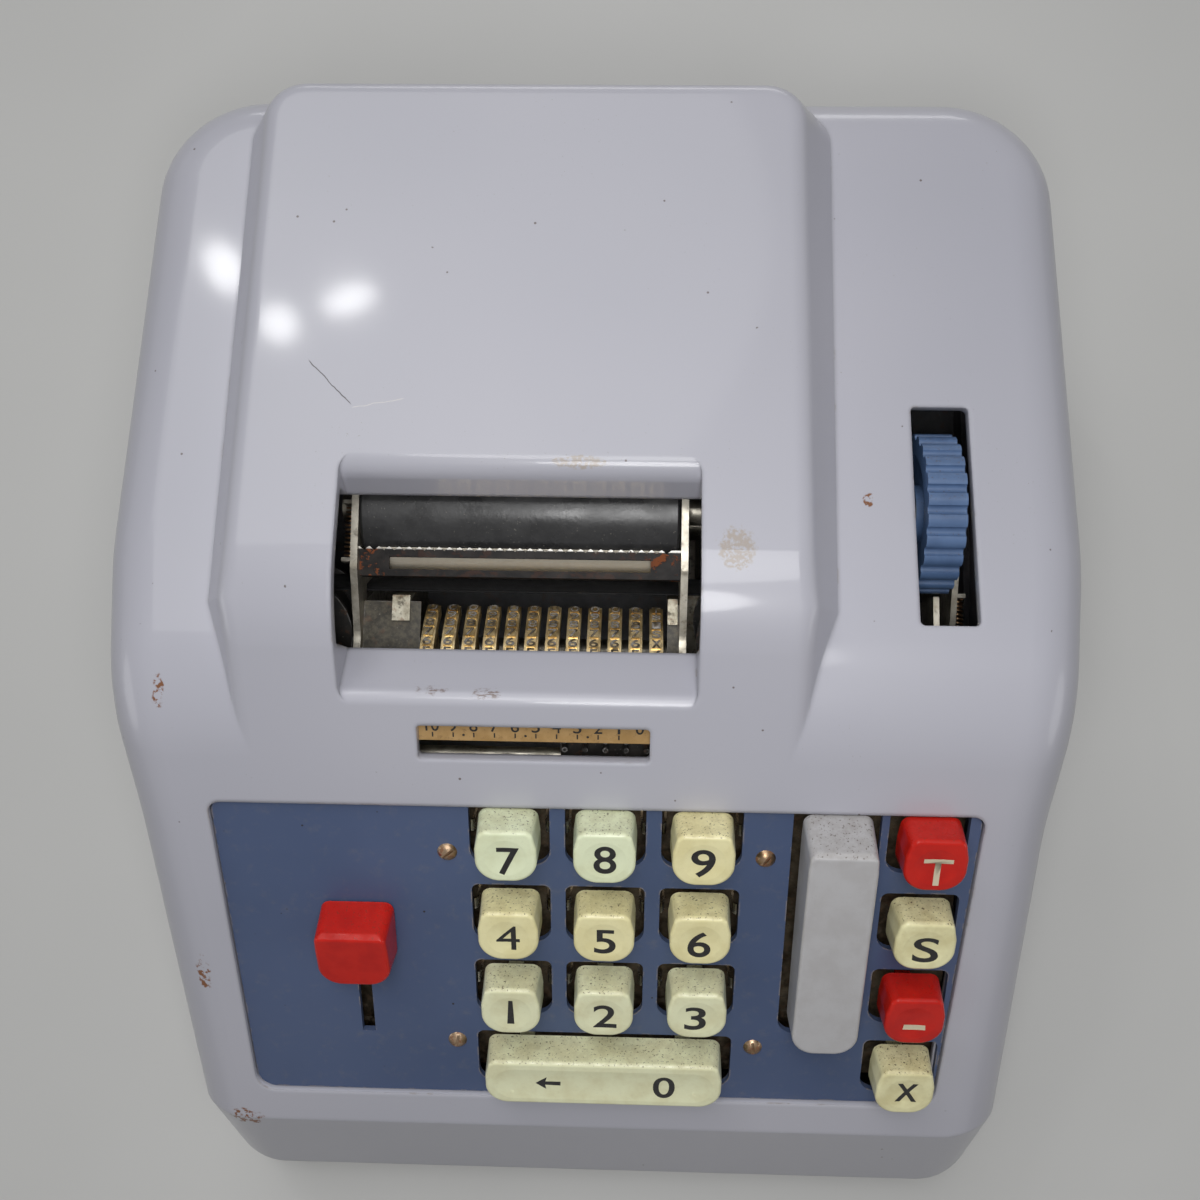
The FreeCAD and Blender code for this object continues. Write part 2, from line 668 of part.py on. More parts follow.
def printing_window_cut():
    """Space of the printing window, between its scoops and straight down through the opening."""
    above = HUMP_RIDGE_Z + 20
    below = OPENING_FRONT_Z - 14
    front_z = keyboard_z(WINDOW_FRONT_Y) + WINDOW_SKIN
    rear_z = hump_z(WINDOW_REAR_Y) + WINDOW_SKIN
    front_run = OPENING_FRONT_Y - WINDOW_FRONT_Y
    rear_run = WINDOW_REAR_Y - OPENING_REAR_Y
    front_y = WINDOW_FRONT_Y - edge_reach(SLOPE_DEG, front_run, front_z - OPENING_FRONT_Z, WINDOW_FRONT_R)
    rear_y = WINDOW_REAR_Y + edge_reach(HUMP_FALL_DEG, rear_run, rear_z - OPENING_REAR_Z, WINDOW_REAR_R)
    outline = [
        (front_y, above, 0),
        (front_y, keyboard_z(front_y) + WINDOW_SKIN, 0),
        (WINDOW_FRONT_Y, front_z, WINDOW_FRONT_R),
        (OPENING_FRONT_Y, OPENING_FRONT_Z, 0),
        (OPENING_FRONT_Y, below, 0),
        (OPENING_REAR_Y, below, 0),
        (OPENING_REAR_Y, OPENING_REAR_Z, 0),
        (WINDOW_REAR_Y, rear_z, WINDOW_REAR_R),
        (rear_y, hump_z(rear_y) + WINDOW_SKIN, 0),
        (rear_y, above, 0),
    ]
    side_view = rounded_wire(outline, lambda y, z: Vector(WINDOW_LEFT, y, z))
    plan = [
        (WINDOW_LEFT, front_y, WINDOW_CORNER_R),
        (WINDOW_RIGHT, front_y, WINDOW_CORNER_R),
        (WINDOW_RIGHT, rear_y, WINDOW_CORNER_R),
        (WINDOW_LEFT, rear_y, WINDOW_CORNER_R),
    ]
    upright = prism(rounded_wire(plan, lambda x, y: Vector(x, y, below)), Vector(0, 0, above - below))
    return prism(side_view, Vector(WINDOW_WIDTH, 0, 0)).common(upright)


def upright_window(x, width, y0, y1, radius):
    """Rounded window cut straight down through the casing."""
    corners = [
        (x - width / 2, y0, radius),
        (x + width / 2, y0, radius),
        (x + width / 2, y1, radius),
        (x - width / 2, y1, radius),
    ]
    wire = rounded_wire(corners, lambda a, b: Vector(a, b, BOSS_TOP_Z))
    return prism(wire, Vector(0, 0, HUMP_RIDGE_Z))


def side_half_width(y):
    """Half width of the casing in plan at a place along it."""
    if y >= FLARE_REAR_Y:
        return REAR_HALF_WIDTH
    if y >= WAIST_Y:
        share = (y - WAIST_Y) / (FLARE_REAR_Y - WAIST_Y)
        return WAIST_HALF_WIDTH + (REAR_HALF_WIDTH - WAIST_HALF_WIDTH) * share
    return FRONT_HALF_WIDTH + (WAIST_HALF_WIDTH - FRONT_HALF_WIDTH) * (y - FRONT_Y) / (WAIST_Y - FRONT_Y)


def boss_places():
    """Middles of the four cover bosses in plan."""
    places = []
    for y in (BOSS_FRONT_Y, BOSS_REAR_Y):
        x = side_half_width(y) - BOSS_INSET
        places += [(side_middle(y) - x, y), (side_middle(y) + x, y)]
    return places


def cover_boss(x, y):
    """Screw boss inside the casing, tied to the side wall by a rib."""
    foot = BASE_Z + PAN_THICKNESS
    post = Part.makeCylinder(BOSS_R, BOSS_TOP_Z - foot, Vector(x, y, foot))
    side = 1 if x > 0 else -1
    wall_x = side_middle(y) + side * (side_half_width(y) - WALL / 2)
    rib = box(min(x, wall_x), max(x, wall_x), y - 1.2, y + 1.2, foot + PAN_RIM, BOSS_TOP_Z)
    pilot = Part.makeCylinder(BOSS_PILOT_R, BOSS_SCREW_DEPTH, Vector(x, y, foot))
    return fuse([post, rib]).cut(pilot)


def upper_cover():
    """The casing: shell, hump, windows, keyboard ledge and screw bosses."""
    solid = casing_body(0, BASE_Z).fuse(hump_body(0))
    hollow = casing_body(WALL, BASE_Z - 2 * WALL).fuse(hump_body(WALL))
    shell = solid.cut(hollow)
    front = scoop(WINDOW_FRONT_Y, keyboard_z(WINDOW_FRONT_Y), OPENING_FRONT_Y, OPENING_FRONT_Z, keyboard_z)
    rear = scoop(WINDOW_REAR_Y, hump_z(WINDOW_REAR_Y), OPENING_REAR_Y, OPENING_REAR_Z, hump_z)
    shell = fuse([shell, front, rear, keyboard_ledge()] + [cover_boss(x, y) for x, y in boss_places()])
    shell = shell.cut(printing_window_cut())
    wheel = upright_window(WHEEL_WINDOW_X, WHEEL_WINDOW_WIDTH, WHEEL_WINDOW_FRONT_Y, WHEEL_WINDOW_REAR_Y, 1.0)
    low = REGISTER_UP - REGISTER_HEIGHT / 2
    high = REGISTER_UP + REGISTER_HEIGHT / 2
    left = REGISTER_X - REGISTER_WIDTH / 2
    right = REGISTER_X + REGISTER_WIDTH / 2
    register_corners = [(left, low, 0.8), (right, low, 0.8), (right, high, 0.8), (left, high, 0.8)]
    register = slope_prism(register_corners, -WALL - 2, 2)
    scale_low = -WALL - SCALE_THICKNESS - SLIDE_GAP
    reach = SCALE_OVERLAP + SLIDE_GAP
    seat = slope_box(left - reach, right + reach, low, SCALE_UP + SCALE_HEIGHT + SLIDE_GAP, scale_low, -WALL)
    keyboard = slope_prism(keyboard_corners(0), -WALL, 12)
    throat = slope_prism(keyboard_corners(-LEDGE_REACH), -WALL - LEDGE_DEPTH - 1, 12)
    inlet = box(
        INLET_X - INLET_WIDTH / 2, INLET_X + INLET_WIDTH / 2, REAR_Y - 2 * WALL, REAR_Y + 2,
        INLET_Z - INLET_HEIGHT / 2, INLET_Z + INLET_HEIGHT / 2,
    )
    return shell.cut(Part.Compound([wheel, register, seat, keyboard, throat, inlet])).removeSplitter()


# Base


PAN_TOP = BASE_Z + PAN_THICKNESS


def foot_places():
    """Middles of the four feet in plan."""
    front = (FRONT_HALF_WIDTH - FOOT_FRONT_INSET, FOOT_FRONT_Y)
    rear = (REAR_HALF_WIDTH - FOOT_REAR_INSET, FOOT_REAR_Y)
    return [(side_middle(y) + side * x, y) for x, y in (front, rear) for side in (-1, 1)]


def z_cylinder(x, y, z0, z1, radius):
    """Upright round bar."""
    return Part.makeCylinder(radius, z1 - z0, Vector(x, y, z0))


def base_pan():
    """Pressed pan that closes the casing below, with a turned-up edge and cooling slots."""
    outer = prism(plan_wire(FRONT_Y, BASE_Z, WALL + PAN_GAP), Vector(0, 0, PAN_RIM))
    inner = prism(plan_wire(FRONT_Y, PAN_TOP, WALL + PAN_GAP + PAN_THICKNESS), Vector(0, 0, PAN_RIM))
    pan = outer.cut(inner)
    holes = [z_cylinder(x, y, 0, PAN_TOP + 1, PAN_SCREW_HOLE_R) for x, y in boss_places()]
    holes += [z_cylinder(x, y, 0, PAN_TOP + 1, FOOT_PLUG_R + SLIDE_GAP) for x, y in foot_places()]
    for i in range(PAN_SLOTS):
        x = MOTOR_LEFT_X + MOTOR_FOOT_WIDTH + i * PAN_SLOT_PITCH
        y0 = MOTOR_Y - PAN_SLOT_HALF_LENGTH
        y1 = MOTOR_Y + PAN_SLOT_HALF_LENGTH
        holes.append(box(x, x + PAN_SLOT_PITCH / 2, y0, y1, 0, PAN_TOP + 1))
    return pan.cut(Part.Compound(holes))


def rubber_feet():
    """Four feet, each with a plug through the pan and a lip above it."""
    feet = []
    for x, y in foot_places():
        pad = z_cylinder(x, y, 0, BASE_Z, FOOT_R)
        bottom = [e for e in pad.Edges if e.BoundBox.ZMax < 0.01 and e.Length > FOOT_R]
        pad = pad.makeFillet(1.2, bottom)
        plug = z_cylinder(x, y, BASE_Z - 1, PAN_TOP, FOOT_PLUG_R)
        lip = Part.makeCone(FOOT_PLUG_R + FOOT_LIP, FOOT_PLUG_R, 2.0, Vector(x, y, PAN_TOP))
        feet.append(fuse([pad, plug, lip]))
    return Part.Compound(feet)


def slotted_screw(head_r, head_height, shank_r, length):
    """Round-head screw along -Z, its head standing on Z = 0, with a slot."""
    dome_r = (head_r ** 2 + head_height ** 2) / (2 * head_height)
    dome = Part.makeSphere(dome_r, Vector(0, 0, head_height - dome_r))
    head = dome.common(Part.makeCylinder(head_r + 1, head_height + 1))
    shank = Part.makeCylinder(shank_r, length, Vector(0, 0, -length))
    slot_width = head_r * 0.3
    slot = box(-head_r - 1, head_r + 1, -slot_width / 2, slot_width / 2, head_height * 0.45, head_height + 1)
    return fuse([head, shank]).cut(slot)


def cover_screws():
    """Four screws through the pan into the cover's bosses."""
    screws = []
    for x, y in boss_places():
        length = PAN_THICKNESS + BOSS_SCREW_DEPTH - 2
        screw = slotted_screw(SCREW_HEAD_R, SCREW_HEAD_HEIGHT, BOSS_PILOT_R - FIT, length)
        screw.Placement = Placement(Vector(x, y, BASE_Z), Rotation(Vector(1, 0, 0), 180))
        screws.append(screw)
    return Part.Compound(screws)


# Keyboard


DIGIT_ROWS = [("7", "8", "9"), ("4", "5", "6"), ("1", "2", "3")]
RIGHT_KEYS = ["key_total", "key_subtotal", "key_minus", "key_repeat"]
BAR_ROW = -3 * KEY_PITCH


def key_places():
    """Node name, place on the slope and width of each key of the common shape."""
    places = []
    for row, digits in enumerate(DIGIT_ROWS):
        for column, digit in enumerate(digits):
            places.append(("key_" + digit, DIGIT_X + (column - 1) * KEY_PITCH, -row * KEY_PITCH, CAP_WIDTH))
    for row, name in enumerate(RIGHT_KEYS):
        places.append((name, RIGHT_COLUMN_X, -row * KEY_PITCH, CAP_WIDTH))
    places.append(("key_0", DIGIT_X, BAR_ROW, BAR_KEY_WIDTH))
    return places


def key_hole(u, v, width):
    """Hole in the panel for one key; in the top row it runs out through the panel's rear edge."""
    up = v + KEY_HOLE_UP if v < 0 else PANEL_UP + 3
    corners = [
        (u - width / 2, v + KEY_HOLE_DOWN, KEY_HOLE_FRONT_R),
        (u + width / 2, v + KEY_HOLE_DOWN, KEY_HOLE_FRONT_R),
        (u + width / 2, up, KEY_HOLE_REAR_R),
        (u - width / 2, up, KEY_HOLE_REAR_R),
    ]
    return slope_prism(corners, -WALL - 1, 1)


def panel_screw_places():
    """Places of the panel screws and posts on the slope."""
    return [
        (PANEL_SCREW_X + side * PANEL_SCREW_SPREAD, v)
        for v in (PANEL_SCREW_UP, PANEL_SCREW_DOWN)
        for side in (-1, 1)
    ]


def slope_cylinder(u, v, low, high, radius):
    """Round bar square to the slope."""
    return on_slope(Part.makeCylinder(radius, high - low, Vector(u, v, low)))


def lever_slot(low, high):
    """Slot that the lever's arm runs in."""
    clear = LEVER_ARM_LENGTH / 2 + LEVER_SLOT_CLEAR
    return slope_box(
        LEVER_X - LEVER_SLOT_WIDTH / 2, LEVER_X + LEVER_SLOT_WIDTH / 2,
        LEVER_UP - LEVER_TRAVEL - clear, LEVER_UP + clear, low, high,
    )


def keyboard_panel():
    """Blue panel with its key holes, lever slot and screw holes."""
    panel = slope_prism(keyboard_corners(-PANEL_GAP), -WALL, -PANEL_SINK)
    holes = []
    for name, u, v, width in key_places():
        hole_width = BAR_HOLE_WIDTH if width > CAP_WIDTH else KEY_HOLE_WIDTH
        if u == RIGHT_COLUMN_X:
            hole_width = RIGHT_HOLE_WIDTH
        holes.append(key_hole(u, v, hole_width))
    motor_corners = [
        (MOTOR_BAR_X - MOTOR_HOLE_WIDTH / 2, MOTOR_HOLE_DOWN, KEY_HOLE_FRONT_R),
        (MOTOR_BAR_X + MOTOR_HOLE_WIDTH / 2, MOTOR_HOLE_DOWN, KEY_HOLE_FRONT_R),
        (MOTOR_BAR_X + MOTOR_HOLE_WIDTH / 2, PANEL_UP + 3, KEY_HOLE_REAR_R),
        (MOTOR_BAR_X - MOTOR_HOLE_WIDTH / 2, PANEL_UP + 3, KEY_HOLE_REAR_R),
    ]
    holes.append(slope_prism(motor_corners, -WALL - 1, 1))
    holes.append(lever_slot(-WALL - 1, 1))
    holes += [slope_cylinder(u, v, -WALL - 1, 1, PANEL_SCREW_R + SLIDE_GAP) for u, v in panel_screw_places()]
    return panel.cut(Part.Compound(holes))


def panel_screws():
    """Four round-head screws through the panel into its posts."""
    screws = []
    for u, v in panel_screw_places():
        screw = slotted_screw(PANEL_SCREW_HEAD_R, PANEL_SCREW_HEAD_HEIGHT, PANEL_SCREW_R, PANEL_SCREW_LENGTH)
        screw.Placement = Placement(Vector(u, v, -PANEL_SINK), Rotation(Vector(0, 0, 1), 25 + 40 * (v + u)))
        screws.append(on_slope(screw))
    return Part.Compound(screws)


def cap_outline(half, ridge_half, front, ridge, w):
    """Outline of a cap at one height: straight ridge behind, round front."""
    shoulder = ridge - CAP_SHOULDER
    corners = [
        (-half, front, CAP_FRONT_R),
        (half, front, CAP_FRONT_R),
        (half, shoulder, CAP_SHOULDER_R),
        (ridge_half, ridge, CAP_RIDGE_R),
        (-ridge_half, ridge, CAP_RIDGE_R),
        (-half, shoulder, CAP_SHOULDER_R),
    ]
    return rounded_wire(corners, lambda u, v: Vector(u, v, w))


def flat_cap(width, taper, rear, ridge, front):
    """Moulded cap on the slope at the origin; ridge and front are (v, w) ends of its sloping face."""
    ridge_v, ridge_w = ridge
    front_v, front_w = front
    half = width / 2
    foot_half = half + CAP_FLARE
    foot = cap_outline(foot_half, foot_half - taper / 2, front_v - CAP_FRONT_LEAN, rear, CAP_FOOT)
    head = cap_outline(half, half - taper, front_v, ridge_v + CAP_BEHIND, ridge_w + 1)
    block = Part.makeLoft([foot, head], True, True)
    fall = (ridge_w - front_w) / (ridge_v - front_v)
    reach = 12.0
    face = [
        (front_v - reach, front_w - reach * fall),
        (ridge_v, ridge_w),
        (ridge_v + reach, ridge_w - reach),
        (ridge_v + reach, ridge_w + reach),
        (front_v - reach, ridge_w + reach),
    ]
    points = [Vector(-width, v, w) for v, w in face]
    cap = block.cut(prism(Part.makePolygon(points + points[:1]), Vector(2 * width, 0, 0)))
    upper = [e for e in cap.Edges if min(corner.Z for corner in e.Vertexes) > CAP_FOOT + 2.5]
    return cap.makeFillet(CAP_EDGE_R, upper)


def dish_centre():
    """Middle of the ball that hollows a key's face."""
    fall = (CAP_RIDGE_HEIGHT - CAP_FRONT_HEIGHT) / (CAP_RIDGE_UP - CAP_FRONT)
    lean = atan2(fall, 1.0)
    lift = CAP_DISH_R - CAP_DISH_DEPTH
    v = (CAP_RIDGE_UP + CAP_FRONT) / 2 - lift * sin(lean)
    w = (CAP_RIDGE_HEIGHT + CAP_FRONT_HEIGHT) / 2 + lift * cos(lean)
    return v, w


def keycap(width):
    """Key top with its dished face, the dish drawn out along a wide one."""
    cap = flat_cap(width, CAP_TAPER, CAP_REAR, (CAP_RIDGE_UP, CAP_RIDGE_HEIGHT), (CAP_FRONT, CAP_FRONT_HEIGHT))
    v, w = dish_centre()
    span = width - CAP_WIDTH
    if span > 0:
        cap = cap.cut(Part.makeCylinder(CAP_DISH_R, span, Vector(-span / 2, v, w), Vector(1, 0, 0)))
    for side in (-1, 1):
        cap = cap.cut(Part.makeSphere(CAP_DISH_R, Vector(side * span / 2, v, w)))
    return cap


def stem(u, v):
    """Flat steel stem with its spring collar, square to the slope."""
    top = CAP_FOOT + STEM_SOCKET
    low = LOWER_PLATE_W - STEM_BELOW
    collar_top = UPPER_PLATE_W - COLLAR_GAP
    half = STEM_WIDTH / 2
    shaft = box(u - half, u + half, v - STEM_THICKNESS / 2, v + STEM_THICKNESS / 2, low, top)
    half = COLLAR_WIDTH / 2
    collar_low = collar_top - COLLAR_HEIGHT
    collar = box(u - half, u + half, v - STEM_THICKNESS, v + STEM_THICKNESS, collar_low, collar_top)
    return fuse([shaft, collar])


def socket(u, v):
    """Hole in a cap for its stem."""
    half = STEM_WIDTH / 2 + FIT
    depth = STEM_THICKNESS / 2 + FIT
    return box(u - half, u + half, v - depth, v + depth, CAP_FOOT - 1, CAP_FOOT + STEM_SOCKET + FIT)


def key(u, v, cap, stem_places):
    """Cap and its stems, laid on the slope."""
    stems = [stem(a, b) for a, b in stem_places]
    hollow = cap.cut(Part.Compound([socket(a, b) for a, b in stem_places]))
    whole = Part.Compound([hollow] + stems)
    whole.Placement = Placement(Vector(u, v, 0), Rotation())
    return on_slope(whole)


def stem_places():
    """Places of all key stems on the slope."""
    places = []
    for name, u, v, width in key_places():
        places += [(u - BAR_STEM_SPREAD, v), (u + BAR_STEM_SPREAD, v)] if width > CAP_WIDTH else [(u, v)]
    return places + [(MOTOR_BAR_X, v) for v in MOTOR_STEMS]


def keys():
    """All keys and the motor bar, by node name."""
    common = keycap(CAP_WIDTH)
    wide = keycap(BAR_KEY_WIDTH)
    motor_ridge = (MOTOR_BAR_UP, MOTOR_BAR_HEIGHT)
    motor_front = (MOTOR_BAR_DOWN, MOTOR_BAR_FRONT_HEIGHT)
    long_cap = flat_cap(MOTOR_BAR_WIDTH, MOTOR_BAR_TAPER, CAP_REAR, motor_ridge, motor_front)
    made = {}
    for name, u, v, width in key_places():
        if width > CAP_WIDTH:
            made[name] = key(u, v, wide, [(-BAR_STEM_SPREAD, 0), (BAR_STEM_SPREAD, 0)])
        else:
            made[name] = key(u, v, common, [(0, 0)])
    made["motor_bar"] = key(MOTOR_BAR_X, 0, long_cap, [(0, v) for v in MOTOR_STEMS])
    return made


def guide_plate(underside):
    """Steel plate on the slope with a slot for each stem and a hole for each post."""
    top = underside + PLATE_THICKNESS
    plate = slope_box(PLATE_LEFT, PLATE_RIGHT, PLATE_DOWN, PLATE_UP, underside, top)
    half = STEM_WIDTH / 2 + STEM_GAP
    depth = STEM_THICKNESS / 2 + STEM_GAP
    low = underside - 1
    slots = [slope_box(u - half, u + half, v - depth, v + depth, low, top + 1) for u, v in stem_places()]
    return plate.cut(Part.Compound(slots))


def upper_guide_plate():
    """Guide plate under the caps; the posts' necks pass through it."""
    plate = guide_plate(UPPER_PLATE_W)
    low = UPPER_PLATE_W - 1
    high = UPPER_PLATE_W + PLATE_THICKNESS + 1
    holes = [slope_cylinder(u, v, low, high, POST_NECK_R + FIT) for u, v in panel_screw_places()]
    return plate.cut(Part.Compound(holes))


def lower_guide_plate():
    """Guide plate under the springs, standing on the four legs."""
    return guide_plate(LOWER_PLATE_W)


def keyboard_posts():
    """Four posts from the lower guide plate through the upper one to the panel."""
    posts = []
    for u, v in panel_screw_places():
        lower = slope_cylinder(u, v, LOWER_PLATE_W + PLATE_THICKNESS, UPPER_PLATE_W, POST_R)
        neck = slope_cylinder(u, v, UPPER_PLATE_W - 1, UPPER_PLATE_W + PLATE_THICKNESS + 1, POST_NECK_R)
        upper = slope_cylinder(u, v, UPPER_PLATE_W + PLATE_THICKNESS, -WALL, POST_R)
        pilot = slope_cylinder(u, v, -WALL - PANEL_SCREW_LENGTH, 0, PANEL_SCREW_R + FIT)
        posts.append(fuse([lower, neck, upper]).cut(pilot))
    return Part.Compound(posts)


def leg_places():
    """Places of the keyboard's legs on the lower guide plate, on the slope."""
    right = (MOTOR_BAR_X + RIGHT_COLUMN_X) / 2
    columns = (PLATE_LEFT + LEG_INSET, right)
    return [(u, v) for v in (PLATE_DOWN + LEG_INSET, PLATE_UP - LEG_INSET) for u in columns]


def keyboard_legs():
    """Four upright legs from the pan to the lower guide plate."""
    legs = []
    below = slope_box(-BEYOND, BEYOND, -BEYOND, BEYOND, LOWER_PLATE_W - BEYOND, LOWER_PLATE_W)
    for u, v in leg_places():
        spot = SLOPE.multVec(Vector(u, v, LOWER_PLATE_W))
        leg = z_cylinder(spot.x, spot.y, PAN_TOP, spot.z + LEG_R, LEG_R)
        flange = z_cylinder(spot.x, spot.y, PAN_TOP, PAN_TOP + 1.5, LEG_R + 2)
        legs.append(fuse([leg, flange]).common(below))
    return Part.Compound(legs)


def key_springs():
    """Return springs round the stems, drawn as thin sleeves from the lower plate to the collars."""
    low = LOWER_PLATE_W + PLATE_THICKNESS
    high = UPPER_PLATE_W - COLLAR_GAP - COLLAR_HEIGHT
    springs = []
    for u, v in stem_places():
        outer = Part.makeCylinder(SPRING_R, high - low, Vector(u, v, low))
        inner = Part.makeCylinder(SPRING_R - 2 * SPRING_WIRE_R, high - low, Vector(u, v, low))
        springs.append(on_slope(outer.cut(inner)))
    return Part.Compound(springs)


def lever_arm():
    """Steel arm of the slider lever with its shoe on the upper guide plate."""
    shoe_low = UPPER_PLATE_W + PLATE_THICKNESS
    half = LEVER_ARM_THICKNESS / 2
    length = LEVER_ARM_LENGTH / 2
    arm = box(-half, half, -length, length, shoe_low, CAP_FOOT + STEM_SOCKET)
    half = LEVER_SHOE_WIDTH / 2
    length = LEVER_SHOE_LENGTH / 2
    shoe = box(-half, half, -length, length, shoe_low, shoe_low + LEVER_SHOE_HEIGHT)
    whole = fuse([arm, shoe])
    whole.Placement = Placement(Vector(LEVER_X, LEVER_UP, 0), Rotation())
    return on_slope(whole)


def lever_knob():
    """Moulded knob of the slider lever."""
    ridge = (KNOB_RIDGE_UP, KNOB_HEIGHT)
    knob = flat_cap(KNOB_WIDTH, KNOB_TAPER, KNOB_REAR, ridge, (KNOB_FRONT, KNOB_FRONT_HEIGHT))
    half = LEVER_ARM_THICKNESS / 2 + FIT
    length = LEVER_ARM_LENGTH / 2 + FIT
    hollow = box(-half, half, -length, length, CAP_FOOT - 1, CAP_FOOT + STEM_SOCKET + FIT)
    knob = knob.cut(hollow)
    knob.Placement = Placement(Vector(LEVER_X, LEVER_UP, 0), Rotation())
    return on_slope(knob)


# Register


def scale_strip():
    """Brass number strip under the upper half of the register window."""
    left = REGISTER_X - REGISTER_WIDTH / 2 - SCALE_OVERLAP
    right = REGISTER_X + REGISTER_WIDTH / 2 + SCALE_OVERLAP
    return slope_box(left, right, SCALE_UP, SCALE_UP + SCALE_HEIGHT, -WALL - SCALE_THICKNESS, -WALL)


def pin_carriage():
    """Carriage with its stop pins and pointer, bored for its two rails."""
    right = CARRIAGE_LEFT + CARRIAGE_WIDTH
    body = box(CARRIAGE_LEFT, right, CARRIAGE_DOWN, CARRIAGE_UP, CARRIAGE_LOW, CARRIAGE_HIGH)
    pieces = [body]
    columns = int((CARRIAGE_WIDTH - 2) / PIN_PITCH) + 1
    margin = (CARRIAGE_WIDTH - (columns - 1) * PIN_PITCH) / 2
    for i in range(columns):
        u = CARRIAGE_LEFT + margin + i * PIN_PITCH
        for v in (CARRIAGE_UP - 3.4, CARRIAGE_UP - 1.4):
            foot = Vector(u, v, CARRIAGE_HIGH - 1)
            pieces.append(Part.makeCylinder(PIN_R, PIN_HIGH - foot.z, foot))
    pointer_u = right - margin - PIN_PITCH / 2
    pointer_high = -WALL - SCALE_THICKNESS - REST_GAP
    pointer_low = CARRIAGE_HIGH - 1
    pointer_v = CARRIAGE_UP - 1.0
    pieces.append(box(pointer_u - 0.4, pointer_u + 0.4, pointer_v, CARRIAGE_UP, pointer_low, pointer_high))
    carriage = fuse(pieces)
    bore_length = CARRIAGE_WIDTH + 2
    starts = [Vector(CARRIAGE_LEFT - 1, v, RAIL_W) for v in RAIL_UP]
    bores = [Part.makeCylinder(RAIL_R + FIT, bore_length, start, Vector(1, 0, 0)) for start in starts]
    return on_slope(carriage.cut(Part.Compound(bores)))


# Printing unit


LEAN = radians(RIBBON_LEAN_DEG)
RIBBON_FROM_AXIS = PLATEN_R + RIBBON_GAP
RIBBON_Y = PLATEN_Y - RIBBON_FROM_AXIS * cos(LEAN)
RIBBON_Z = PLATEN_Z - RIBBON_FROM_AXIS * sin(LEAN)
SECTOR_REACH = RIBBON_FROM_AXIS + SECTOR_GAP + SECTOR_R
SECTOR_Y = PLATEN_Y - SECTOR_REACH * cos(LEAN)
SECTOR_Z = PLATEN_Z - SECTOR_REACH * sin(LEAN)
RIBBON_FRAME = Placement(Vector(0, RIBBON_Y, RIBBON_Z), Rotation(Vector(1, 0, 0), RIBBON_LEAN_DEG))
FRAME_INNER_LEFT = FRAME_LEFT_X + FRAME_THICKNESS
FRAME_OUTER_RIGHT = FRAME_RIGHT_X + FRAME_THICKNESS


def at_ribbon(shape):
    """Lay a shape made in the ribbon's own frame: X along it, Y to the platen, Z up its width."""
    laid = shape.copy()
    laid.Placement = RIBBON_FRAME.multiply(laid.Placement)
    return laid


def rail_places():
    """Y and Z of the carriage rails."""
    spots = [SLOPE.multVec(Vector(0, v, RAIL_W)) for v in RAIL_UP]
    return [(spot.y, spot.z) for spot in spots]


def frame_corners():
    """Outline of a side frame in side view."""
    front_y = SECTOR_Y - 4.6
    (rail_y, rail_z), _ = rail_places()
    return [
        (SECTOR_Y + 2, PAN_TOP, 0),
        (CAM_Y + 28, PAN_TOP, 0),
        (CAM_Y + 28, 46, 6),
        (PLATEN_Y + 17, 64, 4),
        (PLATEN_Y + 14, PLATEN_Z + 6, 4),
        (PLATEN_Y + 8, PLATEN_Z + 12, 3),
        (PLATEN_Y - 14, PLATEN_Z + 11, 3),
        (1.0, 84.5, 4),
        (-11.0, 88.0, 4),
        (rail_y - 4.0, rail_z + 5.5, 3),
        (rail_y - 4.0, rail_z - 3.5, 2),
        (front_y, 71.0, 3),
        (front_y, 50.0, 5),
        (SECTOR_Y + 2, 38.0, 5),
    ]


def side_frame(x, flange_x):
    """One side frame: plate, base flange, and holes for shafts, rails, ties and the ribbon."""
    wire = rounded_wire(frame_corners(), lambda y, z: Vector(x, y, z))
    plate = prism(wire, Vector(FRAME_THICKNESS, 0, 0))
    flange_x1 = flange_x + FRAME_FLANGE
    flange = box(flange_x, flange_x1, SECTOR_Y + 2, CAM_Y + 28, PAN_TOP, PAN_TOP + FRAME_THICKNESS)
    x0 = x - 1
    x1 = x + FRAME_THICKNESS + 1
    holes = [rod_x(x0, x1, PLATEN_Y, PLATEN_Z, PLATEN_SHAFT_R + FIT)]
    holes.append(rod_x(x0, x1, SECTOR_Y, SECTOR_Z, SECTOR_SHAFT_R + FIT))
    holes.append(rod_x(x0, x1, CAM_Y, CAM_Z, CAM_SHAFT_R + FIT))
    holes += [rod_x(x0, x1, y, z, RAIL_R + FIT) for y, z in rail_places()]
    holes += [rod_x(x0, x1, y, z, TIE_R - 1 + FIT) for y, z in CAM_TIES]
    slot = box(x0, x1, -1.6, 1.6, -RIBBON_WIDTH / 2 - 1.2, RIBBON_WIDTH / 2 + 1.2)
    holes.append(at_ribbon(slot))
    return fuse([plate, flange]).cut(Part.Compound(holes))


def side_frame_left():
    """Side frame at the left end of the platen, with the lugs of a spring."""
    frame = side_frame(FRAME_LEFT_X, FRAME_LEFT_X + FRAME_THICKNESS - FRAME_FLANGE)
    return fuse([frame] + spring_lugs(FRAME_COIL_PLACE, FRAME_COIL_TURNS, FRAME_LEFT_X))


def side_frame_right():
    """Side frame at the right end of the platen."""
    return side_frame(FRAME_RIGHT_X, FRAME_RIGHT_X)


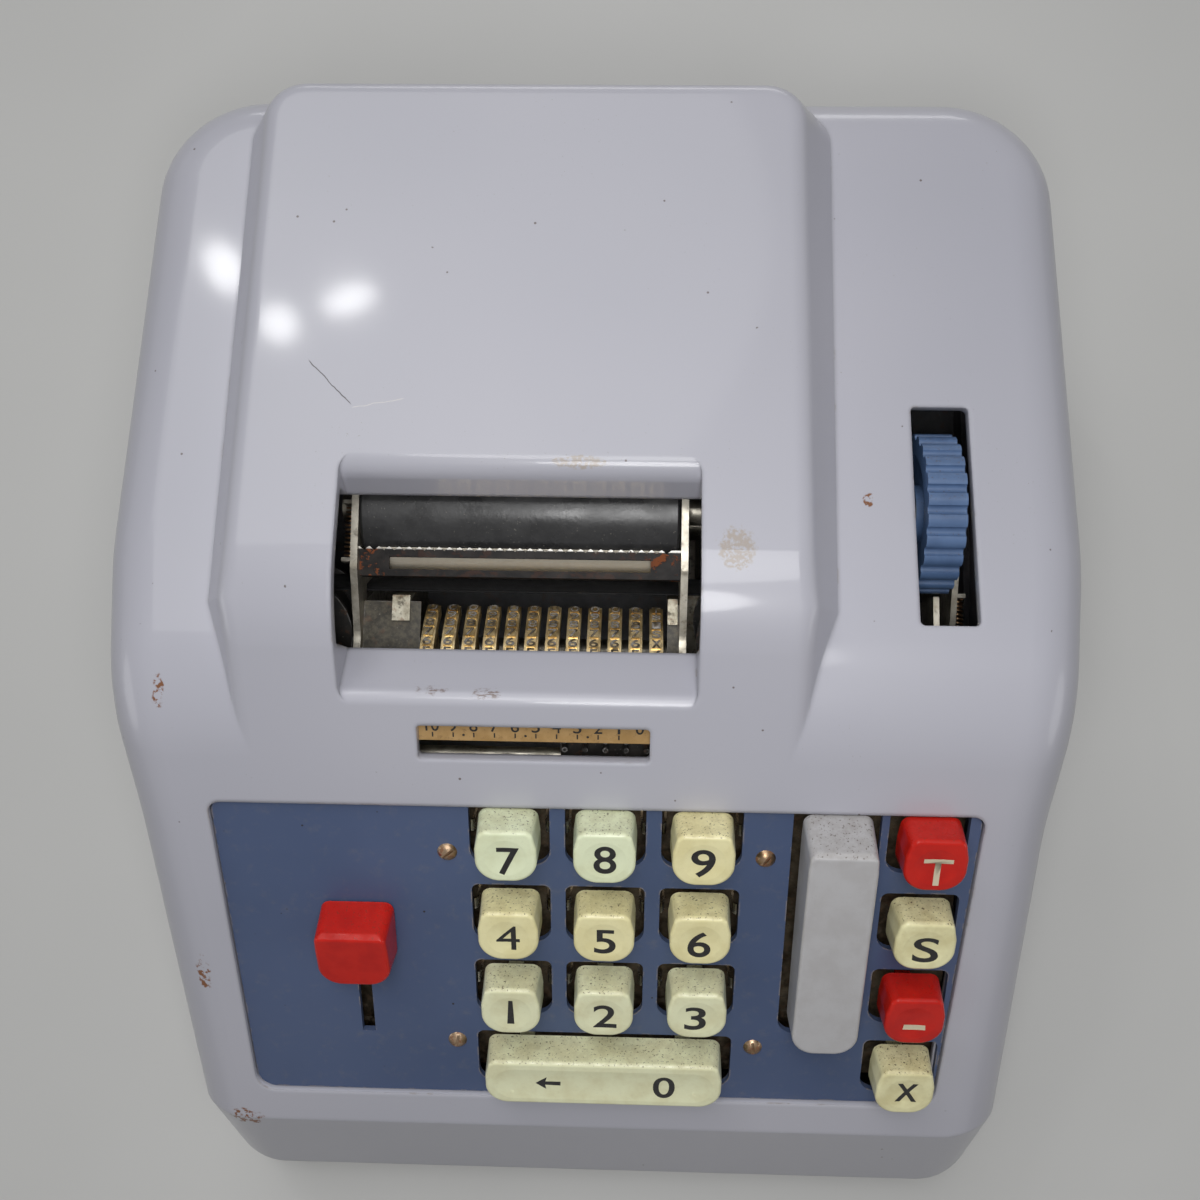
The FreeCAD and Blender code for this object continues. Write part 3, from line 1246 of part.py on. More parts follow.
def frame_rods():
    """Sector shaft, two carriage rails and three shouldered ties between the side frames."""
    end = 1.5
    x0 = FRAME_LEFT_X - end
    x1 = FRAME_OUTER_RIGHT + end
    rods = [rod_x(x0, x1, SECTOR_Y, SECTOR_Z, SECTOR_SHAFT_R)]
    rods += [rod_x(x0, x1, y, z, RAIL_R) for y, z in rail_places()]
    for y, z in CAM_TIES:
        body = rod_x(FRAME_INNER_LEFT, FRAME_RIGHT_X, y, z, TIE_R)
        rods.append(fuse([body, rod_x(x0, x1, y, z, TIE_R - 1)]))
    return Part.Compound(rods)


def platen_roller():
    """Black rubber platen on its shaft."""
    x0 = FRAME_INNER_LEFT + REST_GAP
    x1 = FRAME_RIGHT_X - REST_GAP
    tube = rod_x(x0, x1, PLATEN_Y, PLATEN_Z, PLATEN_R)
    ends = [e for e in tube.Edges if e.Length > 2 * PLATEN_R]
    tube = tube.makeChamfer(0.5, [e for e in ends if e.BoundBox.XLength < 0.01])
    return tube.cut(rod_x(x0 - 1, x1 + 1, PLATEN_Y, PLATEN_Z, PLATEN_SHAFT_R + FIT))


def platen_shaft():
    """Steel shaft through both frames, out to the thumbwheel."""
    end = rod_x(WHEEL_X + WHEEL_WIDTH / 2, DETENT_X + 1.4, PLATEN_Y, PLATEN_Z, PLATEN_SHAFT_R - 1)
    return fuse([rod_x(FRAME_LEFT_X - 4, WHEEL_X + WHEEL_WIDTH / 2, PLATEN_Y, PLATEN_Z, PLATEN_SHAFT_R), end])


def thumbwheel():
    """Ribbed wheel that turns the platen by hand."""
    x0 = WHEEL_X - WHEEL_WIDTH / 2
    valley_r = WHEEL_R - 1.1
    step = 2 * pi / WHEEL_RIBS
    edges = []

    def rim(angle, radius):
        return Vector(x0, PLATEN_Y + radius * cos(angle), PLATEN_Z + radius * sin(angle))

    for i in range(WHEEL_RIBS):
        a = i * step
        crest = [rim(a - 0.28 * step, WHEEL_R - 0.25), rim(a, WHEEL_R), rim(a + 0.28 * step, WHEEL_R - 0.25)]
        valley = [crest[2], rim(a + 0.5 * step, valley_r), rim(a + 0.72 * step, WHEEL_R - 0.25)]
        edges.append(Part.Arc(*crest).toShape())
        edges.append(Part.Arc(*valley).toShape())
    disc = prism(Part.Wire(edges), Vector(WHEEL_WIDTH, 0, 0))
    dish_r = WHEEL_R - 4.0
    dishes = [
        rod_x(x0 - 1, x0 + 1.6, PLATEN_Y, PLATEN_Z, dish_r),
        rod_x(x0 + WHEEL_WIDTH - 1.6, x0 + WHEEL_WIDTH + 1, PLATEN_Y, PLATEN_Z, dish_r),
    ]
    hub = rod_x(x0, x0 + WHEEL_WIDTH, PLATEN_Y, PLATEN_Z, PLATEN_SHAFT_R + 3)
    bore = rod_x(x0 - 1, x0 + WHEEL_WIDTH + 1, PLATEN_Y, PLATEN_Z, PLATEN_SHAFT_R + FIT)
    return fuse([disc.cut(Part.Compound(dishes)), hub]).cut(bore)


DETENT_X = WHEEL_X + WHEEL_WIDTH / 2 + DETENT_GAP


def wheel_bracket():
    """Upright that carries the end of the platen shaft, with the detent arm before the wheel."""
    x1 = DETENT_X + DETENT_THICKNESS
    outline = [
        (PLATEN_Y - 27, PAN_TOP, 0),
        (PLATEN_Y + 14, PAN_TOP, 0),
        (PLATEN_Y + 7, PLATEN_Z, 0),
        (PLATEN_Y, PLATEN_Z + 6, 5),
        (PLATEN_Y - 8, PLATEN_Z + 2, 3),
        (PLATEN_Y - 27, PLATEN_Z - 4, 2),
    ]
    plate = prism(rounded_wire(outline, lambda y, z: Vector(DETENT_X, y, z)), Vector(DETENT_THICKNESS, 0, 0))
    flange_x = DETENT_X + FRAME_FLANGE
    flange = box(DETENT_X, flange_x, PLATEN_Y - 27, PLATEN_Y + 14, PAN_TOP, PAN_TOP + DETENT_THICKNESS)
    nose_y = PLATEN_Y - WHEEL_R - REST_GAP
    tab = box(WHEEL_X + 1.6, x1, nose_y - 8, nose_y - 7, PLATEN_Z - 22, PLATEN_Z - 5)
    arm = box(WHEEL_X + 1.6, WHEEL_X + 2.8, nose_y - 8, nose_y, PLATEN_Z - 16, PLATEN_Z - 3)
    bore = rod_x(DETENT_X - 1, x1 + 1, PLATEN_Y, PLATEN_Z, PLATEN_SHAFT_R - 1 + FIT)
    lugs = spring_lugs(WHEEL_COIL_PLACE, WHEEL_COIL_TURNS, x1)
    return fuse([plate, flange, tab, arm] + lugs).cut(bore)


def platen_point(deg, radius):
    """Y and Z of a place round the platen, measured up from its front."""
    angle = radians(deg)
    return PLATEN_Y - radius * cos(angle), PLATEN_Z + radius * sin(angle)


def tear_bar():
    """Shield over the ribbon with a serrated edge and a slot that shows the paper."""
    edge_y, edge_z = platen_point(TEAR_REACH_DEG, PLATEN_R + TEAR_GAP)
    front_z = edge_z - TEAR_FRONT_DROP
    outline = [
        (edge_y, edge_z),
        (TEAR_FRONT_Y, front_z),
        (TEAR_FRONT_Y, front_z - TEAR_LIP),
        (TEAR_FRONT_Y + TEAR_THICKNESS, front_z - TEAR_LIP),
        (TEAR_FRONT_Y + TEAR_THICKNESS, front_z - TEAR_THICKNESS * 0.7),
        (edge_y, edge_z - TEAR_THICKNESS),
    ]
    width = FRAME_RIGHT_X - FRAME_INNER_LEFT
    bar = flat_solid(outline, FRAME_INNER_LEFT, width)
    middle_x = (FRAME_INNER_LEFT + FRAME_RIGHT_X) / 2
    notches = []
    for i in range(int(width / TOOTH_PITCH)):
        x = FRAME_INNER_LEFT + (i + 0.5) * TOOTH_PITCH
        notch = [
            Vector(x, edge_y - TOOTH_DEPTH, edge_z - 2),
            Vector(x + TOOTH_PITCH / 2, edge_y + 0.1, edge_z - 2),
            Vector(x - TOOTH_PITCH / 2, edge_y + 0.1, edge_z - 2),
        ]
        notches.append(prism(Part.makePolygon(notch + notch[:1]), Vector(0, 0, 4)))
    slot_front = TEAR_FRONT_Y + TEAR_THICKNESS + 0.5
    half = TEAR_SLOT_WIDTH / 2
    notches.append(box(middle_x - half, middle_x + half, slot_front, edge_y - 1.9, front_z - 1.2, edge_z + 1))
    return bar.cut(Part.Compound(notches))


def paper_strip():
    """End of the paper between platen and tear bar."""
    inner = PLATEN_R + PAPER_GAP
    outer = inner + PAPER_THICKNESS
    middle_deg = (PAPER_FROM_DEG + PAPER_TO_DEG) / 2
    x0 = (FRAME_INNER_LEFT + FRAME_RIGHT_X - PAPER_WIDTH) / 2

    def arc(radius):
        spots = [platen_point(d, radius) for d in (PAPER_FROM_DEG, middle_deg, PAPER_TO_DEG)]
        return [Vector(x0, y, z) for y, z in spots]

    low = arc(inner)
    high = arc(outer)
    edges = [
        Part.Arc(*low).toShape(),
        Part.LineSegment(low[2], high[2]).toShape(),
        Part.Arc(high[2], high[1], high[0]).toShape(),
        Part.LineSegment(high[0], low[0]).toShape(),
    ]
    return prism(Part.Wire(edges), Vector(PAPER_WIDTH, 0, 0))


def ribbon():
    """Free stretch of the ink ribbon between its spools."""
    half = RIBBON_THICKNESS / 2
    return at_ribbon(box(SPOOL_LEFT_X, SPOOL_RIGHT_X, -half, half, -RIBBON_WIDTH / 2, RIBBON_WIDTH / 2))


SPOOL_SET = -(SPOOL_PACK_R + RIBBON_THICKNESS / 2 + SPOOL_GAP)


def ribbon_spool(x):
    """Spool with its wound ribbon, turning on a pin square to the ribbon's edge."""
    half = RIBBON_WIDTH / 2
    inside = half + SLIDE_GAP

    def disc(low, high, radius):
        return Part.makeCylinder(radius, high - low, Vector(x, SPOOL_SET, low))

    outside = inside + SPOOL_FLANGE
    flanges = [disc(inside, outside, SPOOL_FLANGE_R), disc(-outside, -inside, SPOOL_FLANGE_R)]
    core = disc(-inside, inside, SPOOL_CORE_R)
    bore = disc(-inside - 2, inside + 2, SPOOL_PIN_R + FIT)
    spool = fuse(flanges + [core]).cut(bore)
    pack = disc(-half, half, SPOOL_PACK_R).cut(disc(-half - 1, half + 1, SPOOL_CORE_R))
    return at_ribbon(Part.Compound([spool, pack]))


def spool_brackets():
    """Two brackets on the side frames, each with a pin for a spool."""
    top = -(RIBBON_WIDTH / 2 + SLIDE_GAP + SPOOL_FLANGE + SLIDE_GAP)
    low = top - FRAME_THICKNESS
    depth = SPOOL_BRACKET_HALF
    made = []
    for x, frame_x, side in ((SPOOL_LEFT_X, FRAME_LEFT_X, -1), (SPOOL_RIGHT_X, FRAME_OUTER_RIGHT, 1)):
        far = x + side * depth
        arm = box(min(frame_x, far), max(frame_x, far), SPOOL_SET - depth, SPOOL_SET + depth, low, top)
        near = frame_x + side * FRAME_THICKNESS
        ear = box(min(frame_x, near), max(frame_x, near), SPOOL_SET - depth, SPOOL_SET + depth, low - 10, top)
        pin = Part.makeCylinder(SPOOL_PIN_R, RIBBON_WIDTH + 2.4 - low + top, Vector(x, SPOOL_SET, low))
        made.append(at_ribbon(fuse([arm, ear, pin])))
    return Part.Compound(made)


SECTOR_LAST_X = SECTOR_FIRST_X + (SECTOR_COUNT - 1) * SECTOR_PITCH


def sector_plates():
    """Dark plates that fill the window beside the type sectors."""
    gap = SECTOR_RIM_WIDTH / 2 + SECTOR_PLATE_GAP
    low = SECTOR_PLATE_Z - SECTOR_PLATE_THICKNESS
    y0 = SECTOR_PLATE_FRONT
    y1 = SECTOR_PLATE_REAR
    left = box(FRAME_INNER_LEFT, SECTOR_FIRST_X - gap, y0, y1, low, SECTOR_PLATE_Z)
    left_ear = box(FRAME_INNER_LEFT, FRAME_INNER_LEFT + SECTOR_PLATE_THICKNESS, y0, y1, low - 7, SECTOR_PLATE_Z)
    right = box(SECTOR_LAST_X + gap, FRAME_RIGHT_X, y0, y1, low, SECTOR_PLATE_Z)
    right_ear = box(FRAME_RIGHT_X - SECTOR_PLATE_THICKNESS, FRAME_RIGHT_X, y0, y1, low - 7, SECTOR_PLATE_Z)
    return Part.Compound([fuse([left, left_ear]), fuse([right, right_ear])])


def ribbon_guides():
    """Bright guides before the ribbon, standing on the sector plates."""
    made = []
    for x, half in ((GUIDE_LEFT_X, 1.8), (GUIDE_RIGHT_X, 1.0)):
        leaf_front = SECTOR_PLATE_REAR - 4
        leaf_rear = SECTOR_PLATE_REAR + 1.2
        leaf = box(x - half, x + half, leaf_front, leaf_rear, SECTOR_PLATE_Z, SECTOR_PLATE_Z + 0.6)
        drop = at_ribbon(box(x - half, x + half, -1.2, -0.6, -RIBBON_WIDTH / 2, RIBBON_WIDTH / 2 + 3.8))
        made.append(fuse([leaf, drop]))
    return Part.Compound(made)


def ring_sector(x0, x1, y, z, inner, outer, from_deg, to_deg):
    """Part of a flat ring across X, its angles measured from the rear upward."""
    def spot(deg, radius):
        angle = radians(deg)
        return Vector(x0, y + radius * cos(angle), z + radius * sin(angle))

    middle = (from_deg + to_deg) / 2
    edges = [
        Part.Arc(spot(from_deg, outer), spot(middle, outer), spot(to_deg, outer)).toShape(),
        Part.LineSegment(spot(to_deg, outer), spot(to_deg, inner)).toShape(),
        Part.Arc(spot(to_deg, inner), spot(middle, inner), spot(from_deg, inner)).toShape(),
        Part.LineSegment(spot(from_deg, inner), spot(from_deg, outer)).toShape(),
    ]
    return prism(Part.Wire(edges), Vector(x1 - x0, 0, 0))


def type_sector():
    """Brass sector at X = 0 with ten raised types on its rim, a hub and a tail."""
    rim_r = SECTOR_R - TYPE_HEIGHT
    half = SECTOR_RIM_WIDTH / 2
    web = SECTOR_WEB / 2
    rim_foot = SECTOR_R - SECTOR_RIM
    rim = ring_sector(-half, half, SECTOR_Y, SECTOR_Z, rim_foot, rim_r, SECTOR_FROM_DEG, SECTOR_TO_DEG)
    plate = ring_sector(
        -web, web, SECTOR_Y, SECTOR_Z, SECTOR_SHAFT_R + 1, rim_foot + 0.5,
        SECTOR_FROM_DEG + 2, SECTOR_TO_DEG - 2,
    )
    hub = rod_x(-half, half, SECTOR_Y, SECTOR_Z, SECTOR_HUB_R)
    tail = box(-web, web, 0, 15, -2, 2)
    tail.Placement = Placement(Vector(0, SECTOR_Y, SECTOR_Z), Rotation(Vector(1, 0, 0), -55))
    pieces = [rim, plate, hub, tail]
    step = (SECTOR_TO_DEG - SECTOR_FROM_DEG) / TYPE_COUNT
    for i in range(TYPE_COUNT):
        pad = box(-TYPE_WIDTH / 2, TYPE_WIDTH / 2, rim_r - 0.3, SECTOR_R, -TYPE_LENGTH / 2, TYPE_LENGTH / 2)
        pad.Placement = Placement(
            Vector(0, SECTOR_Y, SECTOR_Z), Rotation(Vector(1, 0, 0), SECTOR_FROM_DEG + (i + 0.5) * step)
        )
        pieces.append(pad)
    return fuse(pieces).cut(rod_x(-half - 1, half + 1, SECTOR_Y, SECTOR_Z, SECTOR_SHAFT_R + FIT))


def type_sectors():
    """The row of type sectors by node name."""
    first = type_sector()
    made = {}
    for i in range(SECTOR_COUNT):
        sector = first.copy()
        sector.translate(Vector(SECTOR_FIRST_X + i * SECTOR_PITCH, 0, 0))
        made["type_sector_%02d" % (i + 1)] = sector
    return made


def biarc(start, start_way, end, end_way):
    """Two arcs that join two places and leave them in the given directions."""
    across = end - start
    ways = start_way + end_way
    spare = 4 - ways.dot(ways)
    lean = across.dot(ways)
    reach = (-lean + (lean * lean + spare * across.dot(across)) ** 0.5) / spare
    first = start + start_way * reach
    second = end - end_way * reach
    joint = (first + second) * 0.5
    edges = []
    for a, corner, b in ((start, first, joint), (joint, second, end)):
        weight = (b - a).Length / (2 * reach)
        middle = (a + b + corner * (2 * weight)) * (1 / (2 + 2 * weight))
        edges.append(Part.Arc(a, middle, b).toShape())
    return edges


def coil_spring(place, curls):
    """Coil spring along Y as one unbroken tube, by its place and its number of curls."""
    x, y, z = place
    length = (4 * pi * pi * COIL_R * COIL_R + COIL_PITCH * COIL_PITCH) ** 0.5
    start_y = y + COIL_WIRE_R

    def spot(turn):
        angle = 2 * pi * turn
        return Vector(x + COIL_R * cos(angle), start_y + COIL_PITCH * turn, z + COIL_R * sin(angle))

    def way(turn):
        angle = 2 * pi * turn
        around = 2 * pi * COIL_R / length
        return Vector(-around * sin(angle), COIL_PITCH / length, around * cos(angle))

    edges = []
    for i in range(2 * curls):
        edges += biarc(spot(i / 2), way(i / 2), spot((i + 1) / 2), way((i + 1) / 2))
    path = Part.Wire(edges)
    points = []
    for edge in path.OrderedEdges:
        step = (edge.LastParameter - edge.FirstParameter) / 4
        points += [edge.valueAt(edge.FirstParameter + k * step) for k in range(4)]
    apart = 9
    gaps = [(a - b).Length for i, a in enumerate(points) for b in points[i + apart:]]
    print("coil spring of", curls, "curls: least gap to itself", round(min(gaps) - 2 * COIL_WIRE_R, 3), "mm")
    ring = Part.Wire(Part.makeCircle(COIL_WIRE_R, spot(0), way(0)))
    return path.makePipeShell([ring], True, False)


def detent_springs():
    """Springs beside the platen's left end and behind the wheel's detent."""
    frame_coil = coil_spring(FRAME_COIL_PLACE, FRAME_COIL_TURNS)
    wheel_coil = coil_spring(WHEEL_COIL_PLACE, WHEEL_COIL_TURNS)
    return Part.Compound([frame_coil, wheel_coil])


def spring_lugs(place, curls, face_x):
    """Two lugs on an upright, one at each end of a spring."""
    x, y, z = place
    far = y + curls * COIL_PITCH + 2 * COIL_WIRE_R
    half = COIL_R + COIL_WIRE_R + 0.2
    x0 = min(face_x, x - half)
    x1 = max(face_x, x + half)
    spans = ((y - COIL_LUG, y), (far, far + COIL_LUG))
    return [box(x0, x1, y0, y1, z - half, z + half) for y0, y1 in spans]


# Drive


def pulley(y, z, radius):
    """Flat-belt pulley with two flanges."""
    x0 = PULLEY_X - PULLEY_WIDTH / 2
    x1 = PULLEY_X + PULLEY_WIDTH / 2
    flange_r = radius + PULLEY_FLANGE_HEIGHT
    return fuse([
        rod_x(x0, x1, y, z, radius),
        rod_x(x0, x0 + PULLEY_FLANGE, y, z, flange_r),
        rod_x(x1 - PULLEY_FLANGE, x1, y, z, flange_r),
    ])


def motor_housing():
    """Motor: can with end bells, bearings and feet, and the field ring pressed in it."""
    inner_r = MOTOR_R - MOTOR_WALL
    can = rod_x(MOTOR_LEFT_X, MOTOR_RIGHT_X, MOTOR_Y, MOTOR_Z, MOTOR_R)
    rims = [e for e in can.Edges if e.BoundBox.XLength < 0.01]
    can = can.makeFillet(3.0, rims)
    can = can.cut(rod_x(MOTOR_LEFT_X + MOTOR_WALL, MOTOR_RIGHT_X - MOTOR_WALL, MOTOR_Y, MOTOR_Z, inner_r))
    left = rod_x(MOTOR_LEFT_X - 4, MOTOR_LEFT_X + 6, MOTOR_Y, MOTOR_Z, MOTOR_BEARING_R)
    right = rod_x(MOTOR_RIGHT_X - 6, MOTOR_RIGHT_X + 4, MOTOR_Y, MOTOR_Z, MOTOR_BEARING_R)
    feet = []
    for x in (MOTOR_LEFT_X + 6, MOTOR_RIGHT_X - 6 - MOTOR_FOOT_WIDTH):
        foot = box(x, x + MOTOR_FOOT_WIDTH, MOTOR_Y - 18, MOTOR_Y + 18, PAN_TOP, MOTOR_Z - 14)
        feet.append(foot.cut(rod_x(x - 1, x + MOTOR_FOOT_WIDTH + 1, MOTOR_Y, MOTOR_Z, inner_r + 0.2)))
    cuts = [rod_x(MOTOR_LEFT_X - 5, MOTOR_RIGHT_X + 5, MOTOR_Y, MOTOR_Z, MOTOR_SHAFT_R + FIT)]
    for i in range(MOTOR_VENTS):
        half = MOTOR_VENT_WIDTH / 2
        vent = box(MOTOR_LEFT_X - 5, MOTOR_RIGHT_X + 5, MOTOR_VENT_LOW, MOTOR_VENT_HIGH, -half, half)
        turn = Rotation(Vector(1, 0, 0), (i + 0.5) * 360 / MOTOR_VENTS)
        vent.Placement = Placement(Vector(0, MOTOR_Y, MOTOR_Z), turn)
        cuts.append(vent)
    body = fuse([can, left, right] + feet).cut(Part.Compound(cuts))
    field = rod_x(FIELD_LEFT_X, FIELD_RIGHT_X, MOTOR_Y, MOTOR_Z, inner_r)
    bore_r = ROTOR_R + ROTOR_GAP
    field = field.cut(rod_x(FIELD_LEFT_X - 1, FIELD_RIGHT_X + 1, MOTOR_Y, MOTOR_Z, bore_r))
    return Part.Compound([body, field])


def motor_rotor():
    """Shaft with core, commutator and fan, and the small pulley on its end."""
    shaft_end = PULLEY_X + PULLEY_WIDTH / 2
    pieces = [
        rod_x(MOTOR_LEFT_X - 6, shaft_end, MOTOR_Y, MOTOR_Z, MOTOR_SHAFT_R),
        rod_x(FIELD_LEFT_X, FIELD_RIGHT_X, MOTOR_Y, MOTOR_Z, ROTOR_R),
        rod_x(FIELD_LEFT_X - 9, FIELD_LEFT_X, MOTOR_Y, MOTOR_Z, ROTOR_R / 2),
        pulley(MOTOR_Y, MOTOR_Z, DRIVE_PULLEY_R),
    ]
    hub_x = FIELD_RIGHT_X + 1
    pieces.append(rod_x(FIELD_RIGHT_X, hub_x + 4, MOTOR_Y, MOTOR_Z, 7))
    for i in range(FAN_BLADES):
        blade = box(hub_x, hub_x + 4, 5, ROTOR_R + 4, -0.8, 0.8)
        turn = Rotation(Vector(1, 0, 0), i * 360 / FAN_BLADES)
        blade.Placement = Placement(Vector(0, MOTOR_Y, MOTOR_Z), turn)
        pieces.append(blade)
    return fuse(pieces)


def cam_shaft():
    """Main shaft with its cams between the frames and the large pulley outside them."""
    inner_left = FRAME_INNER_LEFT + REST_GAP
    inner_right = FRAME_RIGHT_X - REST_GAP
    pieces = [
        rod_x(FRAME_LEFT_X - 4, PULLEY_X + PULLEY_WIDTH / 2, CAM_Y, CAM_Z, CAM_SHAFT_R),
        rod_x(inner_left, inner_left + 4, CAM_Y, CAM_Z, CAM_SHAFT_R + 3),
        rod_x(inner_right - 4, inner_right, CAM_Y, CAM_Z, CAM_SHAFT_R + 3),
        pulley(CAM_Y, CAM_Z, CAM_PULLEY_R),
    ]
    pitch = (inner_right - inner_left) / (CAM_COUNT + 1)
    for i in range(CAM_COUNT):
        x = inner_left + (i + 1) * pitch
        angle = 2 * pi * i / CAM_COUNT
        y = CAM_Y + CAM_THROW * cos(angle)
        z = CAM_Z + CAM_THROW * sin(angle)
        pieces.append(rod_x(x - 1.5, x + 1.5, y, z, CAM_R))
    return fuse(pieces)


def belt_loop(x0, x1, small_r, large_r):
    """Solid between two planes across X, bounded by a belt line round both pulleys."""
    way = atan2(CAM_Z - MOTOR_Z, CAM_Y - MOTOR_Y)
    span = ((CAM_Z - MOTOR_Z) ** 2 + (CAM_Y - MOTOR_Y) ** 2) ** 0.5
    lean = (large_r - small_r) / span
    open_angle = pi / 2 + atan2(lean, (1 - lean * lean) ** 0.5)

    def spot(y, z, radius, angle):
        return Vector(x0, y + radius * cos(way + angle), z + radius * sin(way + angle))

    small = [spot(MOTOR_Y, MOTOR_Z, small_r, a) for a in (open_angle, pi, -open_angle)]
    large = [spot(CAM_Y, CAM_Z, large_r, a) for a in (-open_angle, 0, open_angle)]
    edges = [
        Part.Arc(*small).toShape(),
        Part.LineSegment(small[2], large[0]).toShape(),
        Part.Arc(*large).toShape(),
        Part.LineSegment(large[2], small[0]).toShape(),
    ]
    return prism(Part.Wire(edges), Vector(x1 - x0, 0, 0))


def drive_belt():
    """Flat belt from the motor to the main shaft."""
    half = PULLEY_WIDTH / 2 - PULLEY_FLANGE - SLIDE_GAP
    small_r = DRIVE_PULLEY_R + BELT_GAP
    large_r = CAM_PULLEY_R + BELT_GAP
    outside = belt_loop(PULLEY_X - half, PULLEY_X + half, small_r + BELT_THICKNESS, large_r + BELT_THICKNESS)
    return outside.cut(belt_loop(PULLEY_X - half - 1, PULLEY_X + half + 1, small_r, large_r))


def power_inlet():
    """Recessed mains inlet in the rear wall, with two pins."""
    inner_wall = REAR_Y - WALL
    x = INLET_X
    z = INLET_Z
    half_x = INLET_WIDTH / 2 - FIT
    half_z = INLET_HEIGHT / 2 - FIT
    body = box(x - half_x, x + half_x, REAR_Y - INLET_DEPTH, REAR_Y - 0.5, z - half_z, z + half_z)
    flange = box(x - half_x - 3, x + half_x + 3, inner_wall - 2, inner_wall, z - half_z - 3, z + half_z + 3)
    half_x = SOCKET_WIDTH / 2
    half_z = SOCKET_HEIGHT / 2
    bottom = REAR_Y - INLET_DEPTH + 3
    cavity = box(x - half_x, x + half_x, bottom, REAR_Y + 1, z - half_z, z + half_z)
    body = fuse([body, flange]).cut(cavity)
    pins = []
    for side in (-1, 1):
        start = Vector(x + side * INLET_PIN_SPREAD / 2, bottom - 4, z)
        pins.append(Part.makeCylinder(INLET_PIN_R, INLET_PIN_LENGTH + 4, start, Vector(0, 1, 0)))
    holes = Part.Compound(pins)
    return Part.Compound([body.cut(holes)] + pins)


# Nodes


def spools():
    """The two ribbon spools by node name."""
    return {"ribbon_spool_left": ribbon_spool(SPOOL_LEFT_X), "ribbon_spool_right": ribbon_spool(SPOOL_RIGHT_X)}


def group(*makers):
    """One node made of the solids of several functions."""
    solids = []
    for make in makers:
        solids += make().Solids
    return Part.Compound(solids)


nodes = {
    "upper_cover": upper_cover(),
    "base_pan": base_pan(),
    "rubber_feet": rubber_feet(),
    "cover_screws": cover_screws(),
    "keyboard_panel": keyboard_panel(),
    "panel_screws": panel_screws(),
    "scale_strip": scale_strip(),
    "power_inlet": power_inlet(),
    "upper_guide_plate": upper_guide_plate(),
    "lower_guide_plate": lower_guide_plate(),
    "keyboard_posts": group(keyboard_posts, keyboard_legs),
    "key_springs": key_springs(),
    "slider_lever": group(lever_arm, lever_knob),
    "pin_carriage": pin_carriage(),
    "side_frame_left": side_frame_left(),
    "side_frame_right": side_frame_right(),
    "frame_rods": frame_rods(),
    "platen_roller": platen_roller(),
    "platen_shaft": platen_shaft(),
    "thumbwheel": thumbwheel(),
    "wheel_bracket": wheel_bracket(),
    "tear_bar": tear_bar(),
    "paper_strip": paper_strip(),
    "ribbon": ribbon(),
    "ribbon_brackets": group(spool_brackets, ribbon_guides),
    "sector_plates": sector_plates(),
    "detent_springs": detent_springs(),
    "motor_housing": motor_housing(),
    "motor_rotor": motor_rotor(),
    "drive_belt": drive_belt(),
    "cam_shaft": cam_shaft(),
}
nodes.update(keys())
nodes.update(spools())
nodes.update(type_sectors())
for name, shape in nodes.items():
    shape.translated(Vector(-MIDDLE_X, 0, 0)).exportStep("parts/" + name + ".step")
print(len(nodes), "nodes")
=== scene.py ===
import json
from math import atan2, cos, hypot, pi, radians, sin

import bmesh
import bpy
from mathutils import Euler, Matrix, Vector
from mathutils.bvhtree import BVHTree


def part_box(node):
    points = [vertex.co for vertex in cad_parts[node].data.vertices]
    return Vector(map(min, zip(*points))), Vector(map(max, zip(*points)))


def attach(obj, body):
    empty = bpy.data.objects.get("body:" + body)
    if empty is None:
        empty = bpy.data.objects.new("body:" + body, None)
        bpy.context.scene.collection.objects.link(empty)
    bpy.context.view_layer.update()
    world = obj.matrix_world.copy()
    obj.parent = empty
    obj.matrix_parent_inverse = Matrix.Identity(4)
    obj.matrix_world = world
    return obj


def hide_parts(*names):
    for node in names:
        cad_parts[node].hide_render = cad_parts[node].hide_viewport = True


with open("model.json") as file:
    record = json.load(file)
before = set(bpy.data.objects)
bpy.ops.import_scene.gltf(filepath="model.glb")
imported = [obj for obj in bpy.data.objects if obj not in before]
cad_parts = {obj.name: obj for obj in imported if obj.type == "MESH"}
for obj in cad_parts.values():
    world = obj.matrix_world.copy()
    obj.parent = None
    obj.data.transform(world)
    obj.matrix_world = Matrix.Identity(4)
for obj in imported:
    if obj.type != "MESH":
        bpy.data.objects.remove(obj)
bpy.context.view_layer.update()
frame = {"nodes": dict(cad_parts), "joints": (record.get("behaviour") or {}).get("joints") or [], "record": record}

NODES = frame["nodes"]
MM = 0.001
KEYBOARD_X = 2.4     # the keyboard's middle, in millimetres to the right of the machine's
SLOPE = radians(30)     # the keyboard's
ACROSS = Vector((1, 0, 0))
UP_SLOPE = Vector((0, cos(SLOPE), sin(SLOPE)))
OFF_SLOPE = Vector((0, -sin(SLOPE), cos(SLOPE)))
SECTORS = sorted(name for name in NODES if name.startswith("type_sector"))
BODY_OF = {name: body for body, names in frame["record"]["behaviour"]["bodies"].items() for name in names}


# Materials


